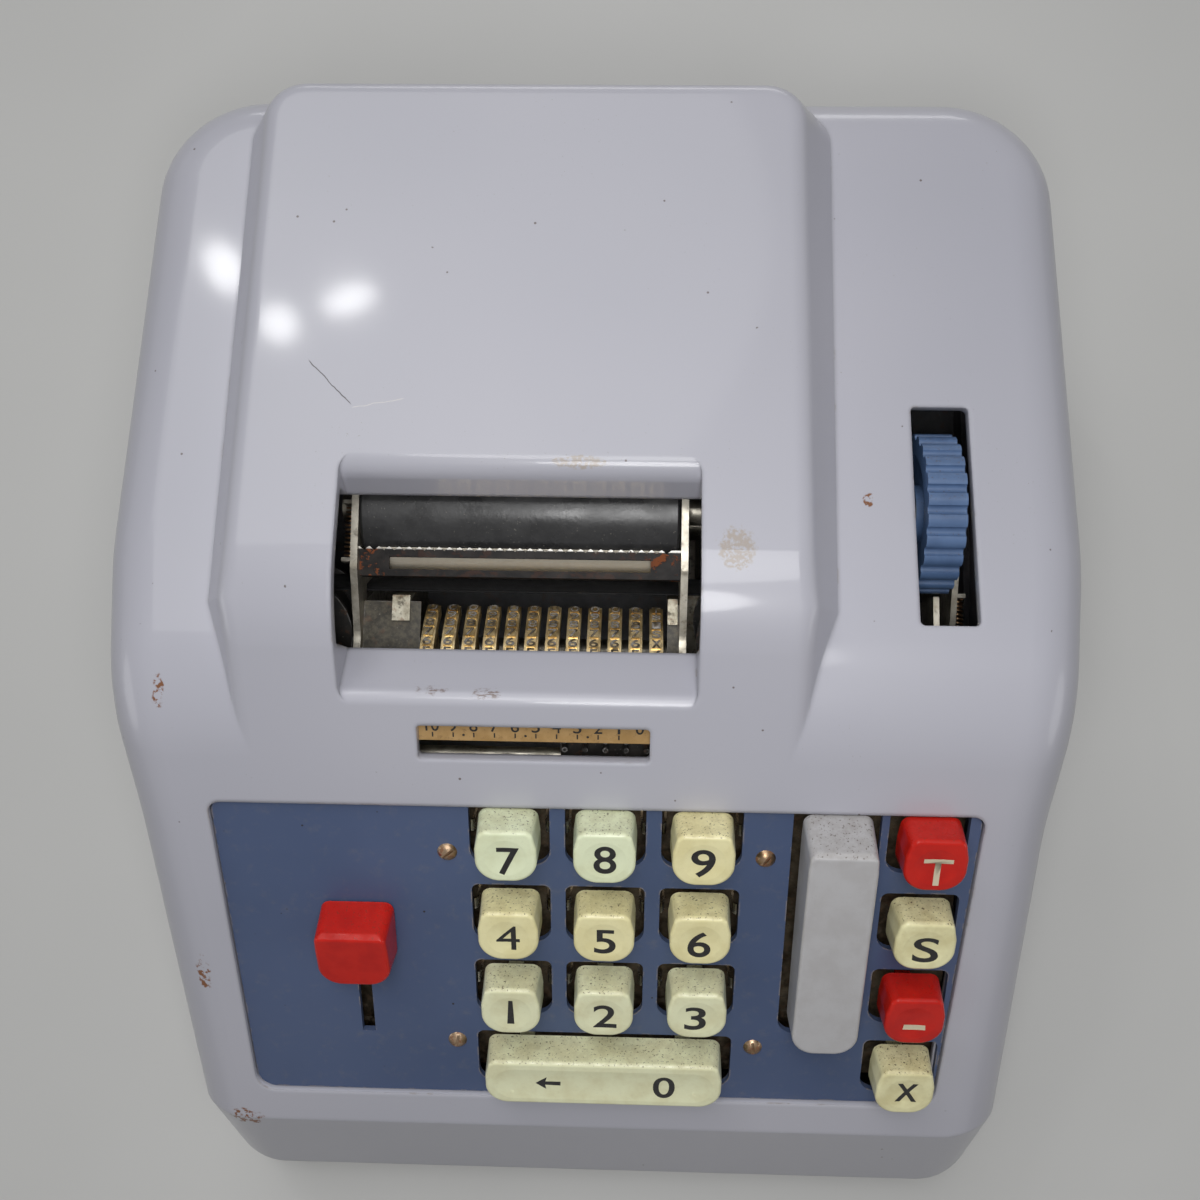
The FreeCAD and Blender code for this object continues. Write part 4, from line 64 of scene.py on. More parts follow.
class Shader:
    """A Principled material with short calls for the nodes that feed it, with lengths in metres."""

    def __init__(self, name):
        self.material = bpy.data.materials.new(name)
        self.material.use_nodes = True
        self.tree = self.material.node_tree
        self.surface = self.tree.nodes["Principled BSDF"]
        self.place = self.tree.nodes.new("ShaderNodeTexCoord").outputs["Object"]

    def put(self, socket, value):
        """Set a socket to a constant or join it to another node."""
        if isinstance(value, bpy.types.NodeSocket):
            self.tree.links.new(value, socket)
        elif isinstance(value, (tuple, list)) and len(value) == 3 and len(socket.default_value) == 4:
            socket.default_value = (*value, 1)
        else:
            socket.default_value = value

    def node(self, kind, inputs, **settings):
        """Add a node with its inputs and settings."""
        made = self.tree.nodes.new(kind)
        for key, value in settings.items():
            setattr(made, key, value)
        for key, value in inputs.items():
            self.put(made.inputs[key], value)
        return made

    def math(self, operation, a, b, clamp=False):
        """Result of an operation on two values."""
        return self.node("ShaderNodeMath", {0: a, 1: b}, operation=operation, use_clamp=clamp).outputs[0]

    def times(self, a, b):
        """Product of two values."""
        return self.math("MULTIPLY", a, b)

    def moved(self, scale, shift=(0, 0, 0), turn=(0, 0, 0)):
        """The object's coordinates, scaled, turned and shifted."""
        inputs = {"Vector": self.place, "Location": shift, "Rotation": turn, "Scale": scale}
        return self.node("ShaderNodeMapping", inputs).outputs[0]

    def noise(self, scale, detail=3.0, roughness=0.55, place=None):
        """Noise from 0 to 1 with scale in features per metre."""
        inputs = {"Vector": place or self.place, "Scale": scale, "Detail": detail, "Roughness": roughness}
        return self.node("ShaderNodeTexNoise", inputs).outputs[0]

    def dots(self, scale, low, high):
        """Mask that is 1 on scattered dots, scale of them to the metre, and fades out from low to high."""
        cells = self.node("ShaderNodeTexVoronoi", {"Vector": self.place, "Scale": scale})
        return self.step(cells.outputs["Distance"], low, high, 1.0, 0.0)

    def step(self, value, low, high, out_low=0.0, out_high=1.0):
        """Value stretched from one range to another, smoothly and clamped."""
        inputs = {"Value": value, 1: low, 2: high, 3: out_low, 4: out_high}
        made = self.node("ShaderNodeMapRange", inputs, interpolation_type="SMOOTHSTEP")
        return made.outputs[0]

    def mix(self, share, a, b):
        """Colour between a and b."""
        made = self.node("ShaderNodeMix", {}, data_type="RGBA")
        self.put(made.inputs[0], share)
        self.put(made.inputs[6], a)
        self.put(made.inputs[7], b)
        return made.outputs[2]

    def axis(self, index, place=None):
        """One coordinate of a place."""
        return self.node("ShaderNodeSeparateXYZ", {0: place or self.place}).outputs[index]

    def edges(self, radius, low=0.02, high=0.25):
        """Mask of sharp edges, from how far a rounded normal leans off the true one."""
        soft = self.node("ShaderNodeBevel", {"Radius": radius}, samples=4).outputs[0]
        true = self.node("ShaderNodeNewGeometry", {}).outputs["True Normal"]
        dot = self.node("ShaderNodeVectorMath", {0: soft, 1: true}, operation="DOT_PRODUCT").outputs["Value"]
        return self.step(self.math("SUBTRACT", 1.0, dot), low, high)

    def spot(self, centre, radii, ragged, scale):
        """Ragged patch round a place, 1 inside and 0 outside."""
        place = self.moved(tuple(1 / r for r in radii), tuple(-c / r for c, r in zip(centre, radii)))
        reach = self.node("ShaderNodeVectorMath", {0: place}, operation="LENGTH").outputs["Value"]
        rough = self.times(self.math("SUBTRACT", self.noise(scale, 4.0, 0.65), 0.5), 4 * ragged)
        return self.step(self.math("ADD", reach, rough), 0.75, 1.05, 1.0, 0.0)

    def bump(self, height, distance, strength, round_edges=0.0):
        """Join a height to the surface's normal, over edges that catch light as rounded ones do."""
        made = self.node("ShaderNodeBump", {"Height": height, "Distance": distance, "Strength": strength})
        if round_edges:
            rounded = self.node("ShaderNodeBevel", {"Radius": round_edges}, samples=6).outputs[0]
            self.put(made.inputs["Normal"], rounded)
        self.put(self.surface.inputs["Normal"], made.outputs[0])

    def finish(self, colour, **sockets):
        """Give the surface its colour and other inputs, named with _ in place of spaces."""
        self.put(self.surface.inputs["Base Color"], colour)
        for key, value in sockets.items():
            self.put(self.surface.inputs[key.replace("_", " ")], value)
        return self.material


PRIMER = (0.62, 0.60, 0.60)
GRIME = (0.16, 0.115, 0.07)
RUST = (0.19, 0.075, 0.03)
TAN_SCUFF = (0.36, 0.30, 0.24)
BARE_STEEL = (0.42, 0.41, 0.40)
REAR_SHADE_AND_DIRT = (0.42, 0.36, 0.30)     # share of red, green and blue left where painted shade and dirt darken the rear faces of keys

# Darker and paler tone of finishes that are mottled
LAVENDER = ((0.415, 0.417, 0.472), (0.447, 0.445, 0.500))
PANEL_BLUE = ((0.056, 0.083, 0.164), (0.072, 0.101, 0.188))
CREAM_PAPER = ((0.84, 0.76, 0.62), (0.88, 0.82, 0.70))
RIBBON_BLACK = ((0.006, 0.006, 0.007), (0.018, 0.018, 0.020))
BAR_BLACK = ((0.012, 0.011, 0.011), (0.030, 0.026, 0.024))
OCHRE = ((0.36, 0.215, 0.075), (0.46, 0.29, 0.12))

# Scuffs on the casing, all in millimetres: middle, with x from the keyboard's middle, and half sizes
PALE_SCUFFS = [((-4.5, 32.7, 105.9), (5.6, 1.3, 3.0)), ((24.6, 16.6, 107.8), (3.6, 4.2, 3.0))]
BROWN_SCUFFS = [((-31.8, -8.9, 100.3), (5.2, 2.0, 3.0)), ((-21.6, -10.0, 99.7), (3.2, 1.5, 3.0))]
EDGE_NICKS = [
    ((-84.3, -10.3, 97.0), (1.2, 3.6, 4.0)),
    ((-83.2, -68.1, 64.0), (1.6, 5.0, 5.0)),
    ((-79.0, -103.5, 44.0), (4.0, 3.2, 4.0)),
    ((51.4, 28.9, 92.6), (1.1, 1.6, 3.0)),
]
# Scratches on the casing: from, to and half width
DARK_SCRATCH = ((-56.8, 52.5), (-47.6, 43.2), 0.10)
PALE_SCRATCH = ((-47.8, 42.8), (-37.6, 44.8), 0.09)

# On the tear bar, in millimetres: where rust begins and is full, outward from the middle, and how far its
# bare toothed edge reaches in, faintly and fully
RUST_FROM, RUST_FULL = 23.5, 27.5
EDGE_FAINT, EDGE_FULL = 0.55, 0.30


def scratch(shader, line):
    """Mask of a thin straight scratch seen from above."""
    (x0, y0), (x1, y1), half = line
    middle = (((x0 + x1) / 2 + KEYBOARD_X) * MM, (y0 + y1) / 2 * MM, 0)
    turn = -atan2(y1 - y0, x1 - x0)
    reach = hypot(x1 - x0, y1 - y0) / 2 * MM
    away = shader.node("ShaderNodeVectorMath", {0: shader.place, 1: middle}, operation="SUBTRACT").outputs[0]
    laid = shader.node("ShaderNodeMapping", {"Vector": away, "Rotation": (0, 0, turn)}).outputs[0]
    wander = shader.times(shader.math("SUBTRACT", shader.noise(250.0), 0.5), 0.9 * MM)
    across = shader.math("ABSOLUTE", shader.math("ADD", shader.axis(1, laid), wander), 0.0)
    along = shader.math("ABSOLUTE", shader.axis(0, laid), 0.0)
    thin = shader.step(across, half * MM * 0.6, half * MM * 1.4, 1.0, 0.0)
    short = shader.step(along, reach * 0.85, reach, 1.0, 0.0)
    return shader.times(thin, short)


def patches(shader, spots, ragged, scale):
    """Union of ragged patches given in millimetres."""
    total = None
    for (x, y, z), radii in spots:
        centre = [(x + KEYBOARD_X) * MM, y * MM, z * MM]
        mask = shader.spot(centre, [r * MM for r in radii], ragged, scale)
        total = mask if total is None else shader.math("MAXIMUM", total, mask)
    return total


def casing_enamel():
    """Glossy grey-lavender enamel with faint dirt, specks, worn edges and the casing's own scuffs."""
    s = Shader("casing_enamel")
    colour = s.mix(s.step(s.noise(9.0, 2.0), 0.3, 0.7), *LAVENDER)
    haze = s.step(s.noise(40.0, 3.0, 0.5), 0.45, 0.95, 0.0, 0.05)
    colour = s.mix(haze, colour, (0.50, 0.485, 0.47))
    fine = s.times(s.step(s.noise(2400.0, 2.0), 0.70, 0.78), s.step(s.noise(45.0), 0.45, 0.7))
    colour = s.mix(s.times(fine, 0.55), colour, GRIME)
    speck = s.times(s.dots(230.0, 0.045, 0.075), s.step(s.noise(130.0, 1.0), 0.60, 0.63))
    colour = s.mix(s.times(speck, 0.8), colour, (0.09, 0.06, 0.045))
    pale = s.times(patches(s, PALE_SCUFFS, 0.32, 1000.0), s.step(s.noise(1500.0, 3.0), 0.35, 0.55))
    colour = s.mix(s.times(pale, 0.75), colour, TAN_SCUFF)
    streaks = s.noise(1.0, 3.0, 0.6, s.moved(scale=(700, 2600, 700), turn=(0, 0, 0.5)))
    brown = s.times(patches(s, BROWN_SCUFFS, 0.32, 700.0), s.step(streaks, 0.42, 0.55))
    colour = s.mix(s.times(brown, 0.85), colour, (0.17, 0.12, 0.10))
    nicks = s.times(patches(s, EDGE_NICKS, 0.40, 500.0), s.step(s.noise(900.0, 3.0), 0.48, 0.58))
    colour = s.mix(nicks, colour, RUST)
    worn = s.times(s.edges(0.0009), s.step(s.noise(140.0, 4.0, 0.65), 0.55, 0.66))
    colour = s.mix(s.times(worn, 0.7), colour, (0.25, 0.20, 0.16))
    dark = scratch(s, DARK_SCRATCH)
    light = scratch(s, PALE_SCRATCH)
    colour = s.mix(s.times(dark, 0.85), colour, (0.06, 0.05, 0.05))
    colour = s.mix(s.times(light, 0.8), colour, PRIMER)
    damage = s.math("MAXIMUM", s.math("MAXIMUM", nicks, worn), s.math("MAXIMUM", dark, light))
    smear = s.step(s.noise(25.0, 2.0, 0.5), 0.3, 0.8, 0.30, 0.33)
    rough = s.math("ADD", smear, s.times(damage, 0.3), clamp=True)
    peel = s.times(s.noise(650.0, 2.0, 0.5), 0.35)
    height = s.math("SUBTRACT", peel, s.times(damage, 1.6))
    height = s.math("ADD", height, s.times(s.dots(420.0, 0.03, 0.06), 0.5))
    s.bump(height, 0.00002, 0.3, round_edges=0.0014)
    return s.finish(colour, Roughness=rough, Coat_Weight=0.40, Coat_Roughness=0.08, Specular_IOR_Level=0.3)


def panel_enamel():
    """Blue enamel of the keyboard panel with dust, specks and worn edges."""
    s = Shader("panel_enamel")
    colour = s.mix(s.step(s.noise(22.0, 3.0), 0.3, 0.7), *PANEL_BLUE)
    dust = s.step(s.noise(320.0, 5.0, 0.7), 0.52, 0.78, 0.0, 0.22)
    colour = s.mix(dust, colour, (0.19, 0.18, 0.17))
    speck = s.times(s.dots(330.0, 0.06, 0.10), s.step(s.noise(170.0, 1.0), 0.58, 0.62))
    colour = s.mix(speck, colour, (0.02, 0.017, 0.016))
    worn = s.times(s.edges(0.0007), s.step(s.noise(260.0, 4.0, 0.65), 0.50, 0.60))
    colour = s.mix(worn, colour, (0.28, 0.24, 0.21))
    s.bump(s.math("ADD", s.noise(800.0, 3.0), s.times(worn, -1.0)), 0.00005, 0.5)
    rough = s.step(s.noise(90.0, 3.0), 0.3, 0.7, 0.34, 0.50)
    return s.finish(colour, Roughness=rough, Specular_IOR_Level=0.35)


def moulded(name, colour, deep, dirt=0.8, roughness=0.26, gloss=0.5):
    """Moulded plastic with painted shade and handling dirt on the faces behind the ridge, a painted highlight on
    the crest and edges, and yellowed mottling.
    """
    s = Shader(name)
    mottle = s.step(s.noise(170.0, 3.0, 0.6), 0.35, 0.70)
    tint = s.mix(mottle, colour, deep)
    normal = s.tree.nodes.new("ShaderNodeTexCoord").outputs["Normal"]
    lean = s.node("ShaderNodeVectorMath", {0: normal, 1: tuple(UP_SLOPE)}, operation="DOT_PRODUCT")
    rear = s.step(lean.outputs["Value"], 0.30, 0.75)
    # Faces that look up the slope are darkened and yellowed: painted shade together with handling dirt
    shade_and_dirt = s.times(rear, s.step(s.noise(420.0, 5.0, 0.7), 0.30, 0.72, 0.15, 1.0))
    shaded_and_dirtied = tuple(c * share for c, share in zip(colour, REAR_SHADE_AND_DIRT))
    tint = s.mix(s.times(shade_and_dirt, 0.55 * dirt), tint, shaded_and_dirtied)
    grain = s.times(s.step(s.noise(2100.0, 2.0), 0.60, 0.70), s.math("ADD", rear, 0.06))
    tint = s.mix(s.times(grain, dirt), tint, (0.07, 0.045, 0.025))
    # Paler crest and edges here are a painted highlight
    rim = s.times(s.edges(0.0008, 0.01, 0.12), s.step(s.noise(600.0, 3.0), 0.35, 0.6))
    rubbed = tuple(min(1.0, c * 1.35 + 0.03) for c in colour)
    tint = s.mix(s.times(rim, 0.30), tint, rubbed)
    rough = s.step(shade_and_dirt, 0.0, 1.0, roughness, 0.62)
    s.bump(s.math("ADD", s.noise(900.0, 3.0), s.times(grain, 0.6)), 0.00004, 0.45)
    return s.finish(tint, Roughness=rough, Specular_IOR_Level=gloss)


def bright_metal(name, colour, deep, roughness=0.34, rust=0.0, grime=0.3):
    """Plated or bare metal with an uneven polish, tarnish, dirt and optional rust."""
    s = Shader(name)
    polish = s.noise(300.0, 4.0, 0.7)
    tarnish = s.step(s.noise(230.0, 5.0, 0.65), 0.38, 0.68)
    tint = s.mix(tarnish, colour, deep)
    dirt = s.times(s.step(s.noise(520.0, 5.0, 0.7), 0.52, 0.66), grime)
    tint = s.mix(dirt, tint, (0.05, 0.038, 0.025))
    spots = s.times(s.step(s.noise(700.0, 4.0, 0.7), 0.52, 0.62), rust)
    tint = s.mix(spots, tint, RUST)
    dull = s.math("MAXIMUM", dirt, spots)
    rough = s.step(polish, 0.3, 0.7, roughness - 0.08, roughness + 0.10)
    rough = s.math("ADD", rough, s.times(dull, 0.35), clamp=True)
    metal = s.math("SUBTRACT", 1.0, s.times(dull, 0.85), clamp=True)
    s.bump(s.math("ADD", s.times(polish, 0.5), s.times(spots, 0.8)), 0.00004, 0.5)
    return s.finish(tint, Roughness=rough, Metallic=metal)


def dark_coat(name, colour, deep, wear=0.5, rust=0.0, roughness=0.45, scale=300.0):
    """Paint, rubber or blackened metal with dust, rust spots and worn edges."""
    s = Shader(name)
    tint = s.mix(s.step(s.noise(scale, 4.0, 0.65), 0.35, 0.70), colour, deep)
    dust = s.times(s.step(s.noise(1900.0, 2.0), 0.68, 0.76), 0.5)
    tint = s.mix(dust, tint, (0.32, 0.30, 0.26))
    spots = s.times(s.step(s.noise(330.0, 5.0, 0.7), 0.57, 0.63), rust)
    tint = s.mix(spots, tint, (0.24, 0.09, 0.035))
    worn = s.times(s.times(s.edges(0.0005), s.step(s.noise(500.0, 3.0), 0.42, 0.60)), wear)
    tint = s.mix(worn, tint, BARE_STEEL)
    rough = s.step(s.noise(110.0, 4.0), 0.3, 0.7, roughness - 0.07, roughness + 0.10)
    s.bump(s.math("ADD", s.noise(1200.0, 3.0), s.times(spots, 1.2)), 0.00005, 0.5)
    return s.finish(tint, Roughness=rough)


def ink(name, colour):
    """Filled-in character colour with slight fading."""
    s = Shader(name)
    fade = s.step(s.noise(900.0, 4.0, 0.65), 0.45, 0.8, 0.0, 0.35)
    tint = s.mix(fade, colour, tuple(c * 0.7 + 0.05 for c in colour))
    s.bump(s.noise(2500.0, 2.0), 0.00002, 0.4)
    return s.finish(tint, Roughness=0.35)


def paper_stock():
    """Cream paper with fibres and a little soiling."""
    s = Shader("cream_paper")
    fibres = s.noise(1.0, 3.0, 0.6, s.moved(scale=(900, 4000, 900)))
    tint = s.mix(s.step(fibres, 0.3, 0.7), *CREAM_PAPER)
    tint = s.mix(s.step(s.noise(130.0, 4.0), 0.5, 0.8, 0.0, 0.3), tint, (0.66, 0.56, 0.42))
    s.bump(fibres, 0.00003, 0.4)
    return s.finish(tint, Roughness=0.85)


def ribbon_weave():
    """Inked woven ribbon with a fine cross weave and greasy sheen."""
    s = Shader("ribbon_weave")
    threads = {"Vector": s.place, "Scale": 900.0, "Distortion": 0.4}
    warp = s.node("ShaderNodeTexWave", threads, bands_direction="X")
    weft = s.node("ShaderNodeTexWave", threads, bands_direction="Z")
    weave = s.times(warp.outputs[1], weft.outputs[1])
    tint = s.mix(weave, *RIBBON_BLACK)
    tint = s.mix(s.step(s.noise(400.0, 4.0), 0.55, 0.75, 0.0, 0.3), tint, (0.04, 0.036, 0.032))
    s.bump(weave, 0.00008, 0.7)
    rough = s.step(s.noise(150.0), 0.3, 0.7, 0.50, 0.7)
    return s.finish(tint, Roughness=rough, Sheen_Weight=0.05, Specular_IOR_Level=0.25)


def tear_bar_finish():
    """Black bar with rust toward its ends and a bare silver toothed edge."""
    s = Shader("tear_bar_black")
    low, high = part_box("tear_bar")
    tint = s.mix(s.step(s.noise(260.0, 4.0), 0.35, 0.7), *BAR_BLACK)
    outward = s.math("ABSOLUTE", s.math("SUBTRACT", s.axis(0), (low.x + high.x) / 2), 0.0)
    at_end = s.step(outward, RUST_FROM * MM, RUST_FULL * MM, 0.12, 1.0)
    rust = s.times(s.step(s.noise(330.0, 5.0, 0.7), 0.54, 0.60), at_end)
    tint = s.mix(rust, tint, (0.20, 0.060, 0.022))
    edge = s.step(s.axis(1), high.y - EDGE_FAINT * MM, high.y - EDGE_FULL * MM)
    ragged = s.times(edge, s.step(s.noise(1500.0, 2.0), 0.25, 0.4))
    tint = s.mix(ragged, tint, (0.66, 0.64, 0.60))
    s.bump(s.math("ADD", s.noise(1300.0, 3.0), s.times(rust, 1.5)), 0.00005, 0.6)
    rough = s.math("ADD", 0.45, s.times(rust, 0.3))
    return s.finish(tint, Roughness=rough, Metallic=s.times(ragged, 0.9), Specular_IOR_Level=0.2)


def scale_finish():
    """Ochre strip with darker, rubbed patches."""
    s = Shader("scale_ochre")
    tint = s.mix(s.step(s.noise(300.0, 4.0), 0.3, 0.7), *OCHRE)
    tint = s.mix(s.step(s.noise(900.0, 4.0, 0.7), 0.55, 0.7, 0.0, 0.6), tint, (0.16, 0.09, 0.035))
    s.bump(s.noise(1500.0, 3.0), 0.00003, 0.4)
    return s.finish(tint, Roughness=0.5)


MATERIALS = {
    "casing": casing_enamel(),
    "panel": panel_enamel(),
    "mint": moulded("key_mint", (0.800, 0.860, 0.600), (0.720, 0.760, 0.500)),
    "cream": moulded("key_cream", (0.860, 0.800, 0.460), (0.780, 0.710, 0.380)),
    "pale": moulded("key_pale", (0.820, 0.830, 0.560), (0.730, 0.710, 0.450)),
    "worn_cream": moulded("key_worn_cream", (0.840, 0.800, 0.480), (0.700, 0.640, 0.350), dirt=1.0),
    "red": moulded("key_red", (0.560, 0.016, 0.009), (0.470, 0.011, 0.007),
                   dirt=0.35, roughness=0.20, gloss=0.25),
    "grey": moulded("key_grey", (0.465, 0.460, 0.470), (0.425, 0.415, 0.420), dirt=0.7, roughness=0.30),
    "wheel": moulded("wheel_slate_blue", (0.085, 0.150, 0.290), (0.066, 0.118, 0.235),
                     dirt=0.5, roughness=0.34),
    "steel": bright_metal("plated_steel", (0.52, 0.49, 0.42), (0.34, 0.31, 0.25),
                          roughness=0.42, grime=0.45),
    "guide": bright_metal("guide_steel", (0.34, 0.32, 0.26), (0.16, 0.14, 0.10),
                          roughness=0.50, rust=0.3, grime=0.7),
    "bright": bright_metal("bright_steel", (0.80, 0.78, 0.72), (0.62, 0.58, 0.50),
                           roughness=0.22, grime=0.12),
    "grimy": bright_metal("grimy_steel", (0.16, 0.13, 0.09), (0.06, 0.045, 0.03),
                          roughness=0.5, rust=0.2, grime=0.9),
    "spring": bright_metal("bronzed_spring", (0.36, 0.24, 0.14), (0.20, 0.12, 0.07), rust=0.6),
    "screw": bright_metal("bronzed_screw", (0.42, 0.30, 0.20), (0.26, 0.17, 0.10), rust=0.8, grime=0.35),
    "brass": bright_metal("aged_brass", (0.82, 0.66, 0.38), (0.56, 0.41, 0.20), roughness=0.36, grime=0.55),
    "type": dark_coat("type_face", (0.040, 0.030, 0.018), (0.120, 0.090, 0.050), roughness=0.4),
    "rubber": dark_coat("black_rubber", (0.022, 0.022, 0.023), (0.036, 0.036, 0.037),
                        wear=0.1, roughness=0.29),
    "foot": dark_coat("foot_rubber", (0.018, 0.018, 0.018), (0.035, 0.034, 0.033),
                      wear=0.1, roughness=0.75),
    "black_steel": dark_coat("black_steel", (0.020, 0.019, 0.018), (0.045, 0.040, 0.035),
                             wear=0.9, rust=0.25),
    "olive": dark_coat("olive_plate", (0.026, 0.022, 0.015), (0.085, 0.073, 0.048),
                       wear=0.4, rust=0.15, roughness=0.6, scale=900.0),
    "motor": dark_coat("motor_grey", (0.110, 0.115, 0.120), (0.150, 0.155, 0.160), wear=0.8, roughness=0.5),
    "pan": dark_coat("pan_grey", (0.150, 0.150, 0.160), (0.190, 0.190, 0.200),
                     wear=0.8, rust=0.2, roughness=0.5),
    "belt": dark_coat("belt_rubber", (0.020, 0.020, 0.020), (0.045, 0.043, 0.040), wear=0.2, roughness=0.7),
    "inlet": dark_coat("black_bakelite", (0.014, 0.012, 0.011), (0.030, 0.025, 0.022),
                       wear=0.2, roughness=0.35),
    "ink_black": ink("ink_black", (0.010, 0.009, 0.009)),
    "ink_cream": ink("ink_cream", (0.640, 0.560, 0.400)),
    "paper": paper_stock(),
    "ribbon": ribbon_weave(),
    "tear_bar": tear_bar_finish(),
    "scale": scale_finish(),
}

# The nodes that wear each finish
DRESS = {
    "casing": ["upper_cover"],
    "panel": ["keyboard_panel"],
    "mint": ["key_7", "key_8"],
    "cream": ["key_9", "key_4", "key_5", "key_6"],
    "pale": ["key_1", "key_2", "key_3", "key_0"],
    "worn_cream": ["key_subtotal", "key_repeat"],
    "red": ["key_total", "key_minus", "slider_lever"],
    "grey": ["motor_bar"],
    "wheel": ["thumbwheel"],
    "grimy": ["upper_guide_plate"],
    "steel": ["lower_guide_plate", "keyboard_posts", "key_springs", "side_frame_left",
              "side_frame_right", "frame_rods", "platen_shaft", "wheel_bracket", "cam_shaft",
              "motor_rotor", "cover_screws"],
    "guide": ["ribbon_brackets"],
    "spring": ["detent_springs"],
    "screw": ["panel_screws"],
    "brass": SECTORS,
    "rubber": ["platen_roller"],
    "foot": ["rubber_feet"],
    "black_steel": ["pin_carriage", "ribbon_spool_left", "ribbon_spool_right"],
    "olive": ["sector_plates"],
    "motor": ["motor_housing"],
    "pan": ["base_pan"],
    "belt": ["drive_belt"],
    "inlet": ["power_inlet"],
    "paper": ["paper_strip"],
    "tear_bar": ["tear_bar"],
    "scale": ["scale_strip"],
}


def dress(piece, material):
    """Give a piece one material."""
    piece.data.materials.clear()
    piece.data.materials.append(material)


for finish, names in DRESS.items():
    for name in names:
        dress(NODES[name], MATERIALS[finish])


# Pieces and flat characters

BOLD = {"4": 0.0, "X": 0.028}     # a bolder 4 closes its counter
FINE_EDGE = 0.8 * MM     # longer edges are divided, so that a character follows a curved surface
RAY_START = 20 * MM     # rays toward a surface start this far off it
PRINT_LIFT = 0.04 * MM
TYPE_LIFT = 0.03 * MM


def surface_of(name):
    """Ray caster over a CAD node at rest."""
    mesh = NODES[name].data
    return BVHTree.FromPolygons([v.co for v in mesh.vertices], [tuple(p.vertices) for p in mesh.polygons])


def new_piece(name, mesh, body, material):
    """Link a mesh as a piece that rides on a body."""
    piece = bpy.data.objects.new(name, mesh)
    bpy.context.scene.collection.objects.link(piece)
    dress(piece, MATERIALS[material])
    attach(piece, body)
    return piece


def letter_mesh(text, width, height, bold=0.008):
    """Flat mesh of a character of a size in millimetres, centred on its own middle."""
    curve = bpy.data.curves.new("letter", "FONT")
    curve.body = text
    curve.offset = BOLD.get(text, bold)
    curve.resolution_u = 6
    holder = bpy.data.objects.new("letter", curve)
    bpy.context.scene.collection.objects.link(holder)
    bpy.context.view_layer.update()
    mesh = bpy.data.meshes.new_from_object(holder.evaluated_get(bpy.context.evaluated_depsgraph_get()))
    bpy.data.objects.remove(holder)
    xs = [v.co.x for v in mesh.vertices]
    ys = [v.co.y for v in mesh.vertices]
    middle = Vector(((min(xs) + max(xs)) / 2, (min(ys) + max(ys)) / 2, 0))
    scale = Vector((width * MM / (max(xs) - min(xs)), height * MM / (max(ys) - min(ys)), 1))
    for v in mesh.vertices:
        v.co = (v.co - middle) * scale
    return mesh


def outline_mesh(points):
    """Flat mesh of one filled outline in millimetres."""
    mesh = bpy.data.meshes.new("outline")
    mesh.from_pydata([(x * MM, y * MM, 0) for x, y in points], [], [tuple(range(len(points)))])
    return mesh


def lay_on(mesh, caster, middle, right, up, off, lift=PRINT_LIFT):
    """Lay a flat mesh on a surface along its normal, slightly proud of it."""
    ready = bmesh.new()
    ready.from_mesh(mesh)
    bmesh.ops.triangulate(ready, faces=ready.faces)
    long = [e for e in ready.edges if e.calc_length() > FINE_EDGE]
    bmesh.ops.subdivide_edges(ready, edges=long, cuts=2)
    ready.to_mesh(mesh)
    ready.free()
    for v in mesh.vertices:
        flat = middle + right * v.co.x + up * v.co.y
        hit = caster.ray_cast(flat + off * RAY_START, -off)[0]
        v.co = (hit if hit is not None else flat) + off * lift
    mesh.update()
    return mesh


# Key characters

ROW = Vector((KEYBOARD_X, -37.1, 84.0)) * MM     # middle of the top key row on the keyboard surface
PITCH = 19.05 * MM
DIGIT_X = 1.2 * MM     # middle column of the digit keys
RIGHT_X = 64.4 * MM     # column of the keys beside the motor bar
KEY_BOLD = 0.012
# Outlines in millimetres of the characters that the font draws in another form
ONE = [(-0.85, -3.2), (0.62, -3.2), (0.42, 3.2), (-0.42, 3.2)]
MINUS = [(-2.3, -0.62), (2.3, -0.70), (2.2, 0.58), (-2.1, 0.66)]
ARROW = [(-2.65, -0.1), (-0.4, -1.75), (-0.62, -0.55), (2.6, -0.68), (2.65, 0.45), (-0.55, 0.45),
         (-0.25, 1.75)]
# Node, character, place across and up from the key's middle, width and height in millimetres
CHARACTERS = [
    ("key_7", "7", 0.5, -1.8, 4.4, 6.5),
    ("key_8", "8", 0.1, -1.0, 4.4, 6.6),
    ("key_9", "9", -0.1, -1.3, 4.7, 6.6),
    ("key_4", "4", 0.0, -1.0, 4.7, 6.1),
    ("key_5", "5", 0.2, -1.4, 4.3, 6.1),
    ("key_6", "6", -0.2, -1.6, 4.6, 6.4),
    ("key_1", ONE, 0.1, -0.8, 0, 0),
    ("key_2", "2", 0.3, -1.3, 4.8, 6.1),
    ("key_3", "3", -0.3, -1.3, 4.4, 6.2),
    ("key_0", "0", 12.8, -1.1, 4.6, 6.1),
    ("key_0", ARROW, -11.6, -0.7, 0, 0),
    ("key_total", "T", 0.3, -2.2, 5.6, 6.2),
    ("key_subtotal", "S", 0.2, -1.6, 5.1, 6.2),
    ("key_minus", MINUS, 0.0, -2.2, 0, 0),
    ("key_repeat", "X", 0.3, -0.6, 4.5, 5.3),
]
PALE_CHARACTERS = ["key_total", "key_minus"]


def on_keyboard(u, v):
    """Place on the keyboard surface, from across and up the slope."""
    return ROW + ACROSS * u + UP_SLOPE * v


def key_places():
    """Middle of each key on the keyboard, across and up the slope."""
    places = {"key_0": (DIGIT_X, -3 * PITCH)}
    for digit in range(1, 10):
        places["key_%d" % digit] = (DIGIT_X + ((digit - 1) % 3 - 1) * PITCH, ((digit - 1) // 3 - 2) * PITCH)
    for row, name in enumerate(["key_total", "key_subtotal", "key_minus", "key_repeat"]):
        places[name] = (RIGHT_X, -row * PITCH)
    return places


